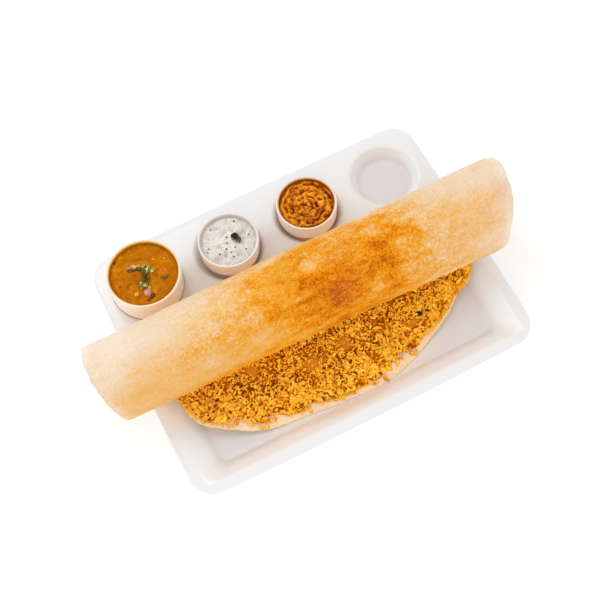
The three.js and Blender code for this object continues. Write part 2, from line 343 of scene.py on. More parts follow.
tray = {
    "halfLength": 180.5,
    "halfWidth": 136.7,
    "cornerRadius": 25,
    "leastCorner": 6,
    "cornerTaper": 0.6,    # the corners tighten by this much for each mm of inset
    "rimHeight": 20,
    "floorHeight": 7.5,
    "sideBow": 0.9,    # the long and short sides bulge this much in their middle
    "bowReach": 26,    # and are straight this far in
    "cornerSteps": 12,
    "sideSteps": 10,
    # inset from the outline and height, from inside the foot round the outside to the flat top
    "outside": [(34.5, 2.6), (33.3, 1.2), (32.4, 0.2), (31.5, 0), (27.5, 0), (26.3, 0.2),
                (24.6, 2), (21, 6), (13, 12), (5, 13.3), (2.2, 13.7), (0.6, 14.9), (0, 16.8),
                (0.7, 18.1), (2.6, 18.9), (5.4, 19.58), (7.4, 19.92), (9.3, 20)],
    # half length, front, back and corner radius
    "well": {"floor": (145, -109, 22, 9), "crest": (169, -126, 41, 16)},
    # share of the way out from floor to crest, and share of the way up
    "wellWall": [(1.04, 1.0), (0.99, 0.985), (0.94, 0.945), (0.87, 0.88), (0.7, 0.717),
                 (0.34, 0.355), (0.16, 0.19), (0.06, 0.09), (-0.02, 0.03), (-0.12, 0.0)],
    "roundWells": [(-133.5 + 88.5 * i, 86.9) for i in range(4)],
    "roundReach": 37,
    "roundWall": [(37.4, 20), (36.9, 19.9), (36.2, 19.5), (35.3, 18.6), (31.5, 14.1), (27.4, 9.4),
                  (26.3, 8.3), (25.4, 7.7), (24.2, 7.5)],
    # the same for the wells where nothing stands close to the wall
    "softWall": [(37.4, 20), (36.6, 19.9), (35.6, 19.5), (34.5, 18.7), (33.4, 17.5), (30.9, 14.4),
                 (27.2, 9.6), (26.0, 8.4), (25.0, 7.8), (23.4, 7.5)],
    "roundSides": 72,
    "clouds": ("f0f0f2", "efeeed"),
    # painted light and shade laid over each other: shade on the well floors, light on the sloping
    # walls, bounce light round the bowls, shade between the bowls and the roll, and warm shade
    # beside the flap
    "lightAndShade": ("e4e0e0", "f4f9fc", "f8e2ca", "dcd3cd", "ece3d9"),
    # painted shade between the bowls and the roll, in metres from the middle: start, full, fading,
    # end
    "rollShadeX": (-0.14, -0.115, -0.04, 0.11),
    "rollShadeY": (0.02, 0.04, 0.074, 0.106),
    # painted warm shade beside the flap: from where to where it fades, away from the crepe's middle
    # and backwards
    "flapShadeAway": (0.220, 0.234),
    "flapShadeY": (-0.08, -0.06),
    # the same for the light that the roll throws, which also fades to the right
    "thrownAway": (0.208, 0.24),
    "thrownX": (-0.145, -0.105),
    "thrownY": (-0.04, -0.01),
    "thrownLight": "ffd8b0",
}
crepeCentre = (-6.5, 107.5)    # the flap's edge lies about as far from here all along


def roundedRing(halfX, front, back, radius, height, bow):
    ring = []
    corners = [(halfX - radius, back - radius), (-halfX + radius, back - radius),
               (-halfX + radius, front + radius), (halfX - radius, front + radius)]
    for quarter, (x, y) in enumerate(corners):
        for step in range(tray["cornerSteps"] + 1):
            angle = (quarter + step / tray["cornerSteps"]) * math.pi / 2
            ring.append((x + radius * math.cos(angle), y + radius * math.sin(angle)))
        start = ring[-1]
        nextX, nextY = corners[(quarter + 1) % 4]
        turn = (quarter + 1) * math.pi / 2
        end = (nextX + radius * math.cos(turn), nextY + radius * math.sin(turn))
        for step in range(1, tray["sideSteps"]):
            t = step / tray["sideSteps"]
            out = bow * (1 - (2 * t - 1) ** 2) ** 1.5
            ring.append((mix(start[0], end[0], t) + out * math.cos(turn),
                         mix(start[1], end[1], t) + out * math.sin(turn)))
    return [(x, y, height) for x, y in ring]


def trayRing(inset, height):
    radius = max(tray["leastCorner"], tray["cornerRadius"] - tray["cornerTaper"] * inset)
    bow = tray["sideBow"] * max(0, 1 - inset / tray["bowReach"])
    halfWidth = tray["halfWidth"] - inset
    return roundedRing(tray["halfLength"] - inset, -halfWidth, halfWidth, radius, height, bow)


def wellRing(out, up):
    sizes = [mix(a, b, out) for a, b in zip(tray["well"]["floor"], tray["well"]["crest"])]
    height = mix(tray["floorHeight"], tray["rimHeight"], up)
    return roundedRing(*sizes, height, 0.5 * tray["sideBow"])


def inside(ring, point):
    x, y = point
    ax, ay = ring[:, 0], ring[:, 1]
    bx, by = np.roll(ax, -1), np.roll(ay, -1)
    crossing = (ay > y) != (by > y)
    with np.errstate(divide="ignore", invalid="ignore"):
        at = ax + (y - ay) / (by - ay) * (bx - ax)
    return np.count_nonzero(crossing & (x < at)) % 2 == 1


def flatTop(points, edgeRings):    # faces between the outline, the main well and the round wells
    top = [i for ring in edgeRings for i in ring]
    edges, first = [], 0
    for ring in edgeRings:
        edges += [(first + i, first + (i + 1) % len(ring)) for i in range(len(ring))]
        first += len(ring)
    flat = [Vector(points[i][:2]) for i in top]
    places, _, found, sources = geometry.delaunay_2d_cdt(flat, edges, [], 0, 1e-5)[:4]
    outline, *wells = [np.array([points[i][:2] for i in ring]) for ring in edgeRings]
    faces = []
    for face in found:
        middle = sum((Vector(places[i]) for i in face), Vector((0, 0))) / 3
        if inside(outline, middle) and not any(inside(well, middle) for well in wells):
            faces.append(tuple(top[sources[i][0]] for i in face))
    return faces


def makeTray(finish):
    points, faces, edgeRings = [], [], []

    def addRings(rings):    # the first ring lies on the flat top
        start, count = len(points), len(rings[0])
        for ring in rings:
            points.extend(ring)
        edgeRings.append(range(start, start + count))
        faces.extend(ringFaces(len(rings), count, start))
        faces.append(tuple(range(start + (len(rings) - 1) * count, len(points))))

    outside = np.maximum(smoothLine(tray["outside"], 2), 0)[::-1]
    addRings([trayRing(inset, height) for inset, height in outside])
    faces[:] = [face[::-1] for face in faces]
    addRings([wellRing(out, up) for out, up in smoothLine(tray["wellWall"], 2)])
    for number, centre in enumerate(tray["roundWells"]):
        wall = smoothLine(tray["roundWall"] if number == 0 else tray["softWall"], 2)
        addRings([circle(centre, radius, height, tray["roundSides"]) for radius, height in wall])
    faces += flatTop(points, edgeRings)
    mesh = makeMesh("tray_glazed", points, faces)
    shaped = bmesh.new()
    shaped.from_mesh(mesh)
    bmesh.ops.recalc_face_normals(shaped, faces=shaped.faces)
    shaped.to_mesh(mesh)
    shaped.free()
    storeValues(mesh, depth=[floorShadeAt(point) for point in points],
                warmth=[bounceLightAt(point) for point in points],
                slope=[wallLightAt(point) for point in points])
    showPiece("tray_glazed", mesh, finish, ["tray"])


def wellDistance(point, number):    # from the middle of a round well
    x, y = tray["roundWells"][number]
    return math.hypot(point[0] - x, point[1] - y)


def withinCrest(point):
    halfX, front, back = tray["well"]["crest"][:3]
    return abs(point[0]) < halfX and front < point[1] < back


def floorShadeAt(point):    # painted shade on the floors of the wells
    inWell = withinCrest(point) and point[2] > 5
    inWell = inWell or any(wellDistance(point, i) < tray["roundReach"] for i in range(4))
    return 1 - smoothStep(7.6, 14, point[2]) if inWell else 0.0


def bounceLightAt(point):    # painted bounce light, warm in the wells that hold bowls, low down round them
    away = min(wellDistance(point, i) for i in range(3))
    return (1 - smoothStep(34, 42, away)) * (1 - smoothStep(12, 20.5, point[2]))


def wallLightAt(point):    # painted light: the walls of the main well, and of the empty one away from its shaded side, lighter and cooler
    x, y = tray["roundWells"][3]
    towardsLight = 0.35 + (point[0] - x - 0.6 * (point[1] - y)) / 60
    lit = (wellDistance(point, 3) < tray["roundReach"]) * np.clip(towardsLight, 0, 0.7)
    return max(withinCrest(point), lit) * smoothStep(8.5, 16, point[2])


def trayGlaze():
    glaze = Finish("whiteGlaze", Roughness=0.2, Specular_IOR_Level=0.5, Emission_Strength=0.12)
    place = glaze.place()
    cloud = glaze.noise(place, 90, 2)
    centred = glaze.place(shift=tuple(-trayMiddle))
    x, y = glaze.axis(centred, 0), glaze.axis(centred, 1)
    flapCentre = (crepeCentre[0] * mm, crepeCentre[1] * mm, 0)
    away = glaze.node("ShaderNodeVectorMath", {"operation": "DISTANCE"},
                      {0: centred, 1: flapCentre}, "Value")
    # painted shade between the bowls and the roll, painted warm shade along the edge of the flap,
    # and a glow for the light that the roll throws beyond its left end
    rollShade = glaze.within(x, *tray["rollShadeX"]) * glaze.within(y, *tray["rollShadeY"])
    flapShade = glaze.fall(away, *tray["flapShadeAway"]) * glaze.fall(y, *tray["flapShadeY"])
    thrown = glaze.fall(away, *tray["thrownAway"]) * glaze.fall(x, *tray["thrownX"])
    thrown = thrown * glaze.fall(y, *tray["thrownY"])
    shares = [glaze.value(name) for name in ("depth", "slope", "warmth")] + [rollShade, flapShade]
    base = glaze.layered(glaze.blend(glaze.span(cloud, 0.3, 0.7), *tray["clouds"]),
                         *zip(shares, tray["lightAndShade"]))
    glaze.glow(thrown, tray["thrownLight"])
    glaze.relief((glaze.noise(place, 45, 2), 0.25), (glaze.noise(place, 1.4, 2, 0.6), 0.01))
    return glaze.finished(base, glaze.span(cloud, 0.3, 0.7, 0.16, 0.24))


makeTray(trayGlaze())
print("tray made")


# bowls

bowls = {
    "lip": 2.9,
    "wall": 3.2,
    "floor": 4.0,
    "curveHeight": 12.5,
    "shoulder": 0.975,
    "sides": 96,
    "footShare": 0.5,    # radius of the foot against the rim's
    "underside": [(-0.8, 1.0), (0, 0.7), (0.6, 0.15), (1.4, 0)],    # from the foot's radius
    "outerHeights": (1.2, 3, 5.5, 8, 10.5, 12.5, 15, 20),
    # inwards from the rim's radius, and down from its height
    "lipCurve": [(0.1, 0.75), (0.45, 0.15), (1.0, 0), (1.6, 0.12), (2.2, 0.5), (2.7, 1.1)],
    "innerSteps": (0, 0.6, 1.2, 1.8, 2.6, 3.6, 5),    # down from the top of the inner wall
    "innerHeights": (28, 24, 20, 17, 14, 11, 8.5, 6.5),
    "innerFloor": [(0.66, 0.7), (0.52, 0), (0, 0)],    # share of the rim's radius, above the floor
    "clouds": ("fdf8f1", "faf3ea"),
    "flankTint": "fbe0bf",
    "thrownLight": "ffc088",
}

# base as a share of the rim, how far below the rim the food stains the wall, name of the glaze, and
# the colours of the stain, the lip, painted shade on its inner side and painted light on its side
# towards the dosa
bowlKinds = {
    "bowl_sambar": (0.66, 0.5, "ivoryGlazeSambar", "bc800e", "ffe8bc", "e8b870", "fff4d6"),
    "bowl_coconut": (0.75, 1.3, "ivoryGlazeCoconut", "cbc4be", "f0eae8", "cdc5c1", "fff6ee"),
    "bowl_tomato": (0.79, 0.5, "ivoryGlazeTomato", "96500e", "fbeadc", "dcb088", "fdeee0"),
}


def bowlSize(node):    # centre, base height, rim radius and height of the bowl itself
    low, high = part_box(node)
    centre = ((np.array(low) + np.array(high)) / 2 - trayMiddle) / mm
    return {
        "centre": np.array([centre[0], centre[1], (low.z - trayMiddle[2]) / mm]),
        "rim": (high.x - low.x) / 2 / mm,
        "height": (high.z - low.z) / mm,
        "baseShare": bowlKinds[node][0],
    }


def bowlRadius(size, above):
    base = size["baseShare"] * size["rim"]
    shoulder = bowls["shoulder"] * size["rim"]
    curve = bowls["curveHeight"]
    if above < curve:
        return mix(base, shoulder, 1 - (1 - above / curve) ** 1.3)
    return mix(shoulder, size["rim"], (above - curve) / (size["height"] - curve))


def insideRadius(size, above):    # the wall thickens below the lip
    thickness = mix(bowls["lip"], bowls["wall"], smoothStep(1, 12, size["height"] - above))
    return bowlRadius(size, above) - thickness


def bowlInside(size, top):    # profile of the inner wall from a height down to the middle
    heights = [top - step for step in bowls["innerSteps"]]
    heights += [height for height in bowls["innerHeights"] if height < top - 6]
    line = [(insideRadius(size, height), height) for height in heights]
    return line + [(share * size["rim"], bowls["floor"] + h) for share, h in bowls["innerFloor"]]


def makeBowl(node, finish):
    size = bowlSize(node)
    rim, height = size["rim"], size["height"]
    profile = [(0, 1.0)] + [(bowls["footShare"] * rim + out, h) for out, h in bowls["underside"]]
    profile += [(bowlRadius(size, 0) - 1.2, 0), (bowlRadius(size, 0.2), 0.35)]
    outerHeights = bowls["outerHeights"] + (height - 4, height - 1.6)
    profile += [(bowlRadius(size, h), h) for h in outerHeights]
    profile += [(rim - inwards, height - down) for inwards, down in bowls["lipCurve"]]
    profile += bowlInside(size, height - 1.8)
    points, faces = turned(profile, bowls["sides"])
    up = points[:, 2]
    radius = np.hypot(points[:, 0], points[:, 1])
    innerWall = (radius < rim - 1.3) & (up > bowls["floor"] - 0.5)
    across = -points[:, 1] / np.maximum(radius, 1)    # 1 on the side turned to the dosa
    stained = height - bowlKinds[node][1]
    belowLip = 1 - smoothStep(height - 2, height + 0.5, up)
    mesh = makeMesh(node + "_glazed", points + size["centre"], faces)
    storeValues(
        mesh,
        stain=np.where(innerWall, 1 - smoothStep(stained - 1.2, stained, up), 0),
        flank=np.where(innerWall, 0, 1 - smoothStep(0.1 * height, 0.85 * height, up)),
        lip=smoothStep(height - 4, height - 1.5, up),
        lipInside=smoothStep(rim - 0.7, rim - 2.3, radius) * (up > height - 2),
        glow=np.where(innerWall, 0, np.clip(across, 0, 1) ** 2 * belowLip),
        front=0.5 + 0.5 * across)
    showPiece(node + "_glazed", mesh, finish, [node])


def bowlGlaze(name, stainColour, lipColour, innerLipShade, frontLipLight):
    glaze = Finish(name, Roughness=0.22, Specular_IOR_Level=0.5, Emission_Strength=0.22)
    place = glaze.place()
    cloud = glaze.noise(place, 30, 3)
    front = glaze.span(glaze.value("front"), 0.3, 0.9)
    ragged = glaze.value("stain") + glaze.unevenness((glaze.noise(place, 4, 4), 0.6))
    base = glaze.layered(
        glaze.blend(glaze.span(cloud, 0.3, 0.7), *bowls["clouds"]),
        (0.6 * glaze.value("flank"), bowls["flankTint"]),    # warmer towards the foot: partly the glaze's own tone, partly painted light thrown back by the dosa
        # painted light: the lip lighter towards the dosa; painted shade: its inner edge darker at
        # the back
        (glaze.value("lip"), glaze.blend(front, lipColour, frontLipLight)),
        (glaze.value("lipInside") * (1 - 0.8 * front), innerLipShade),
        (glaze.span(ragged, 0.3, 0.7), stainColour))
    glaze.relief((glaze.noise(place, 20, 2), 0.12), (glaze.noise(place, 1.2, 2), 0.01))
    glaze.glow(glaze.value("glow"), bowls["thrownLight"])
    return glaze.finished(base, glaze.span(cloud, 0.3, 0.7, 0.18, 0.3))


for bowlNode, bowlKind in bowlKinds.items():
    makeBowl(bowlNode, bowlGlaze(*bowlKind[2:]))
print("bowls made")


# what is in the bowls

def makeContent(name, node, bowlNode, finish, surface, rings, sides, leafAt=(0, 0), leafReach=1.0):
    size = bowlSize(bowlNode)
    level = (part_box(node)[1].z - trayMiddle[2]) / mm - size["centre"][2]
    wallRadius = insideRadius(size, level) - 0.1
    profile = [(r, h) for r, h in bowlInside(size, level - 3) if h < level - 2.5]
    under = [(max(0.0, r - 0.25), h + 0.25) for r, h in profile][::-1]
    top = [(wallRadius * (1 - (i / rings) ** 1.15), level) for i in range(rings)] + [(0, level)]
    points, faces = turned(under + top, sides)
    x, y = points[:, 0], points[:, 1]
    out = np.hypot(x, y) / wallRadius
    lifted = slice(1 + (len(under) - 1) * sides, None)    # the points of the free surface
    # each surface's second value, kept as lift, is painted as light and shade: crests lighter,
    # hollows darker
    rise, lift = surface(x[lifted], y[lifted], out[lifted])
    points[lifted, 2] = level + rise
    shade = np.zeros(len(points))
    shade[lifted] = lift
    mesh = makeMesh(name, points + size["centre"], faces)
    leafStain = bump(np.hypot(x - leafAt[0], y - leafAt[1]), leafReach)
    storeValues(mesh, lift=shade, out=out, leafStain=leafStain)
    showPiece(name, mesh, finish, [node])
    return size["centre"] + (0, 0, level)


sambar = {
    "ripple": 0.6,
    "meniscus": 0.5,
    "tones": [(0.1, "8c4a02"), (0.35, "b66801"), (0.55, "c57202"), (0.75, "d28204"),
              (0.95, "e2a02c")],
    "oil": "cc5a06",
    "herb": "7a600a",
    "fleck": "e2a020",
    "rim": "8a5806",
}


def sambarSurface(x, y, out):
    drift = 3.0 * lumpy(x, y, 12, 1, 8.2)
    ripple = 0.8 * lumpy(x + drift, y - drift, 6.5, 3, 1.3) + 0.45 * lumpy(x, y, 2.4, 2, 4.1)
    climb = sambar["meniscus"] * smoothStep(0.94, 1.0, out)
    return sambar["ripple"] * ripple + climb - 0.35, ripple


def sambarFinish():
    stew = Finish("sambarStew", Specular_IOR_Level=0.03)
    place = stew.place()
    grit = stew.noise(place, 1.3, 4, 0.7, 0.8)
    cloud = stew.noise(place, 9, 4, 0.65, 1.0)
    swirl = stew.noise(place, 26, 3, 0.5, 1.2)
    # painted light and shade: ripple crests lighter, troughs darker
    tone = stew.unevenness((cloud, 1.2), (swirl, 1.0), (grit, 0.8)) + 0.24 * stew.value("lift")
    oil = stew.span(stew.noise(place, 5, 3, 0.5, 0.8), 0.62, 0.7)
    green = stew.span(stew.noise(place, 7, 3, 0.6, 0.5), 0.64, 0.74)
    flecks = stew.span(stew.cell(place, 3.1), 0.2, 0.1) * stew.span(cloud, 0.45, 0.6)
    base = stew.layered(
        stew.ramp(tone + 0.53, sambar["tones"]), (0.6 * oil, sambar["oil"]),
        (0.4 * green, sambar["herb"]), (0.5 * flecks, sambar["fleck"]),
        # darker towards the wall: painted shade of the bowl's rim
        (stew.span(stew.value("out"), 0.9, 1.0, 0.0, 0.4), sambar["rim"]))
    stew.relief((grit, 0.25), (cloud, 0.5))
    return stew.finished(base, stew.span(oil, 0.0, 1.0, 0.42, 0.2))


sambarTop = makeContent(
    "sambar_stew", "sambar", "bowl_sambar", sambarFinish(), sambarSurface, rings=64, sides=128)

coconut = {
    "radius": 27.0,
    "fold": 0.75,
    "grain": 0.28,
    "hollow": (9.0, -1.0),    # where the curry leaf lies
    "hollowWidth": 5.0,
    "hollowDepth": 1.1,
    "tones": [(0.0, "8e847a"), (0.25, "bcb3aa"), (0.55, "ded7cf"), (0.8, "f8f4ef")],
    "leafStain": "7c7c48",
    "speck": "6b5d50",
}


def coconutSurface(x, y, out):
    drift = 2.5 * lumpy(x, y, 8, 2, 7.0)
    middle = bump(np.hypot(x + 1, y), 13)
    folds = 1 - 2.4 * np.abs(lumpy(x + drift, y + 0.6 * drift, 8.5, 2, 2.2))    # soft crests
    folds *= mix(0.4, 1.3, middle)
    grain = lumpy(x, y, 1.5, 2, 5.5)
    away = np.hypot(x - coconut["hollow"][0], y - coconut["hollow"][1])
    hollow = coconut["hollowDepth"] * bump(away, coconut["hollowWidth"])
    rise = coconut["fold"] * folds + coconut["grain"] * grain - hollow
    rise += 0.8 * middle - 1.7 - 0.5 * smoothStep(0.9, 1.0, out)
    return rise, folds + 0.5 * grain - hollow - 0.3


def coconutFinish():
    paste = Finish("coconutPaste", Roughness=0.48, Specular_IOR_Level=0.3)
    place = paste.place()
    grit = paste.noise(place, 1.0, 4, 0.7)
    cloud = paste.noise(place, 7, 3, 0.6)
    # painted light and shade: fold crests lighter, hollows and the leaf's hollow darker
    tone = 0.62 + 0.3 * paste.value("lift") + paste.unevenness((grit, 0.95), (cloud, 0.25))
    greened = paste.span(paste.value("leafStain") + 0.5 * (grit - 0.5), 0.35, 0.95, 0.0, 0.75)
    specks = paste.span(paste.cell(place, 2.9), 0.13, 0.07)
    base = paste.layered(paste.ramp(tone, coconut["tones"]),
                         (greened, coconut["leafStain"]), (0.55 * specks, coconut["speck"]))
    paste.relief((grit, 0.35), (cloud, 0.5))
    return paste.finished(base)


coconutTop = makeContent(
    "coconut_chutney_paste", "coconut_chutney", "bowl_coconut", coconutFinish(), coconutSurface,
    rings=90, sides=150, leafAt=(8, 0), leafReach=6.5)

tomato = {
    "dome": 1.0,
    "ridge": 1.5,
    "swirlLength": 7.0,
    # place, reach and depth of each dark pit
    "pits": [((-2.5, 1), (2.6, 2.6), 1.0), ((9, -3), (1.6, 3.6), 0.8), ((-2, -9.5), (4, 1.8), 0.7)],
    "tones": [(0.02, "6a2000"), (0.2, "9c4202"), (0.4, "ca6c04"), (0.62, "e88e0a"),
              (0.9, "fcb634")],
    "red": "a43c04",
}


def tomatoSurface(x, y, out):
    wander = 2.8 * lumpy(x, y, 9, 2, 3.7)
    # strands that wind round the middle, cut across by rounder lumps
    winding = (np.hypot(x, y) + wander + 1.1 * np.arctan2(y, x)) * math.pi / tomato["swirlLength"]
    strand = 1 - 2 * np.abs(np.sin(winding + 1.6 * lumpy(x, y, 8, 1, 8.8)))
    lumps = np.clip(cellEdges(x + 1.3 * wander, y - 1.3 * wander, 7.2, 2.0) / 0.45, 0, 1)
    pits = sum(depth * np.exp(-awayFrom(x, y, *at, *reach)) for at, reach, depth in tomato["pits"])
    near = smoothStep(0.45, 0.85, out)    # strands lie round the wall, lumps in the middle
    shape = mix(0.35, 0.65, near) * strand + mix(1.1, 0.6, near) * lumps ** 0.8
    shape += 0.6 * lumpy(x, y, 2.6, 3, 6.1) - mix(0.7, 0.45, near) - 1.2 * pits
    rise = tomato["ridge"] * shape + tomato["dome"] * (1 - out ** 2)
    return rise - 2.0 - 1.2 * smoothStep(0.86, 1.0, out), shape + 0.006 * y    # lighter at the back


def tomatoFinish():
    relish = Finish("tomatoRelish", Specular_IOR_Level=0.08)
    place = relish.place()
    grit = relish.noise(place, 1.2, 4, 0.65)
    cloud = relish.noise(place, 8, 3, 0.6, 0.5)
    # painted light and shade: lump tops lighter, crevices and pits darker
    tone = 0.65 + 0.56 * relish.value("lift") + relish.unevenness((grit, 0.9), (cloud, 0.9))
    red = relish.span(relish.noise(place, 5.5, 3, 0.5, 0.6), 0.55, 0.7)
    base = relish.blend(0.6 * red, relish.ramp(tone, tomato["tones"]), tomato["red"])
    relish.relief((grit, 0.4), (cloud, 0.4))
    return relish.finished(base, relish.span(cloud, 0.35, 0.65, 0.2, 0.4))


makeContent("tomato_chutney_relish", "tomato_chutney", "bowl_tomato",
            tomatoFinish(), tomatoSurface, rings=90, sides=150)
print("sambar and chutneys made")


# dosa

crepe = {
    "radius": 217,
    "thickness": 2.0,
    "edgeThickness": 0.8,
    "edgeReach": 5,
    "centreX": crepeCentre[0],
    "centreArc": 118,    # along the crepe, from the line where the roll starts to its middle
    # angle, width and rise of each uneven stretch of the outline
    "lobes": [(-110, 16, -4), (-34, 13, 12), (12, 9, 3), (45, 12, 6), (112, 19, -8), (-82, 6, -4),
              (-47.5, 5, -15.3), (-40, 5, 1.4), (-24, 4, 1.3), (-21, 8, 3.7), (39, 4, -2.3),
              (44, 3, 1.8), (88, 7, 2), (106.5, 4, -1.8), (118, 5, 5)],
    "raggedness": 0.9,
    "wobble": 0.22,
    "edgeCurl": 0.5,
    "curlReach": 6,
    "rows": 286,
    "columns": 166,
    "firstAngle": 3.0,    # degrees left out at each end, where the rows would shrink to a point
    "outerTones": [(0.0, "f9ead8"), (0.15, "f2d6b4"), (0.3, "f0c183"), (0.45, "f1ab47"),
                   (0.6, "f09a14"), (0.75, "e88803"), (0.88, "d87102"), (1.0, "b85303")],
    "innerTones": [(0.1, "f2bb76"), (0.4, "fdddae"), (0.7, "fff2de")],
    "stainTones": [(0.1, "f4a41c"), (0.5, "ffbc34"), (0.8, "ffd064")],
    "rollOilAndLight": "ffb224",
    "pore": "b86a18",
    "rosy": "cf6a34",
    "sallow": "ffd058",
    "thrownLight": "ffd000",
}

roll = {
    "outerRadius": 41.7,
    "radiusSlope": 0.0095,
    "centreY": -10.5,
    "centreSlope": -0.0175,
    "bow": 1.3,
    "tuckStart": 5.1,    # angles about the axis between which the sheet moves inwards
    "tuckEnd": 6.3,
    "tuckDepth": 7.5,
    "gap": 0.3,
}

flap = {"length": 97, "level": 70, "bridge": 165, "lift": 1.6, "edgeDrop": 0.85}


def crepeRadius(angle):    # the uneven outline, by degrees from the middle of the flap
    lobes = sum(rise * bump(angle - at, width) for at, width, rise in crepe["lobes"])
    return crepe["radius"] + lobes


def rollAt(x):    # radius of the sheet's middle, and the roll's axis
    outer = roll["outerRadius"] + roll["radiusSlope"] * x
    bow = roll["bow"] * (1 - (x / crepe["radius"]) ** 2)
    y = roll["centreY"] + roll["centreSlope"] * x + bow
    return outer - crepe["thickness"] / 2, y, tray["rimHeight"] + roll["gap"] + outer


def tuckShare(turn):
    return smoothStep(roll["tuckStart"], roll["tuckEnd"], turn)


def turnAt(arc, radius):    # angle turned about the roll's axis, from the bottom backwards
    span = roll["tuckEnd"] - roll["tuckStart"]
    turn = arc / radius
    for _ in range(12):
        t = np.clip((turn - roll["tuckStart"]) / span, 0, 1)
        tucked = span * (t ** 3 - t ** 4 / 2) + np.maximum(0, turn - roll["tuckEnd"])
        turn = (arc + roll["tuckDepth"] * tucked) / radius
    return turn


def dent(x, turn):
    loose = 0.5 - 0.5 * np.cos(np.minimum(turn, 2 * math.pi))
    return loose * (0.5 * np.sin(x / 31 + 1.3 * turn) + 0.35 * np.sin(x / 17 - 2 * turn))


def onRoll(x, turn, out=0.0):    # a place on the rolled sheet's middle, or this far outside it
    radius, y, z = rollAt(x)
    reach = radius - roll["tuckDepth"] * tuckShare(turn) + dent(x, turn) + out
    return np.stack([x, y + reach * np.sin(turn), z - reach * np.cos(turn)], -1)


def flapEdge(x):    # how far forward the crepe reaches, as a distance along it
    across = x - crepe["centreX"]
    along = np.full_like(across, -crepe["radius"], dtype=float)
    for _ in range(8):
        radius = crepeRadius(np.degrees(np.arctan2(across, -along)))
        along = -np.sqrt(np.maximum(radius ** 2 - across ** 2, 1))
    return crepe["centreArc"] + along


def flapHeight(x, arc):
    over = roll["gap"] + crepe["thickness"] / 2
    forward = smoothStep(0, flap["length"], -arc)
    sag = 1 - smoothStep(flap["level"], flap["bridge"], np.abs(x))
    atEdge = smoothStep(-12, -1, flapEdge(x) - arc)    # the very edge lies flat
    wave = flap["lift"] * (0.5 + 0.5 * np.sin(x / 21 + 1)) * forward ** 2 * (1 - atEdge)
    height = mix(tray["rimHeight"] + over, tray["floorHeight"] + over, forward * sag)
    return height + wave - flap["edgeDrop"] * atEdge * forward * sag


def onFlap(x, arc, lift=0.0):    # a place on the flap's middle, or this far above it
    return np.stack([x, rollAt(x)[1] + arc, flapHeight(x, arc) + lift], -1)


def sheetPoint(x, arc):    # middle of the sheet at X and a distance along it
    rolled = onRoll(x, turnAt(np.maximum(arc, 0), rollAt(x)[0]))
    return np.where((arc < 0)[..., None], onFlap(x, arc), rolled)


def sheetNormal(x, arc, reach=0.5):    # towards the inside of the roll and the top of the flap
    alongX = sheetPoint(x + reach, arc) - sheetPoint(x - reach, arc)
    alongArc = sheetPoint(x, arc + reach) - sheetPoint(x, arc - reach)
    normal = np.cross(alongX, alongArc)
    return normal / np.linalg.norm(normal, axis=-1, keepdims=True)


filling = {
    "left": -156.5,
    "right": 152,
    "back": -9,
    "endFront": -32,    # where the heap's front and back meet at its two ends
    "margin": 7,
    "bluntness": 40,
    "leastShare": 0.12,
    "endShare": 0.09,    # of a half turn, left out at each end, where columns would crowd
    # at, width, depth
    "bays": [(-152, 4, -3), (-113, 11, 9), (-81, 9, 7.5), (-44, 10, 3.2), (50, 15, 7.5),
             (70, 4, -2.5), (79, 5, 1.5)],
    "thickness": 5.6,
    "pile": {"height": 10, "foot": -72, "top": -40, "from": 80, "to": 150},    # against the roll
    "clearance": 0.6,
    "headroom": 1.6,    # space kept under the roll
    "columns": 300,
    "rows": 64,
    # smooth patches of paste where few crumbs lie: at X and along the flap, and reach
    "patches": [(-30, -56, 12, 6), (-84, -40, 8, 6), (7, -52, 7, 7), (77, -60, 10, 5)],
    "roughTones": [(0.1, "6e2600"), (0.35, "a64e00"), (0.6, "d27a04"), (0.85, "ee9c12")],
    "evenTones": [(0.1, "cc7206"), (0.5, "e89420"), (0.9, "fcb848")],
}


def bluntShare(x):    # the heap's two ends are blunt
    across = (2 * x - filling["left"] - filling["right"]) / (filling["right"] - filling["left"])
    return mix(1, filling["leastShare"], np.clip(np.abs(across), 0, 1) ** filling["bluntness"])


def fillingFront(x):
    bays = sum(depth * bump(x - at, width) for at, width, depth in filling["bays"])
    return mix(filling["endFront"], flapEdge(x) + filling["margin"] + bays, bluntShare(x))


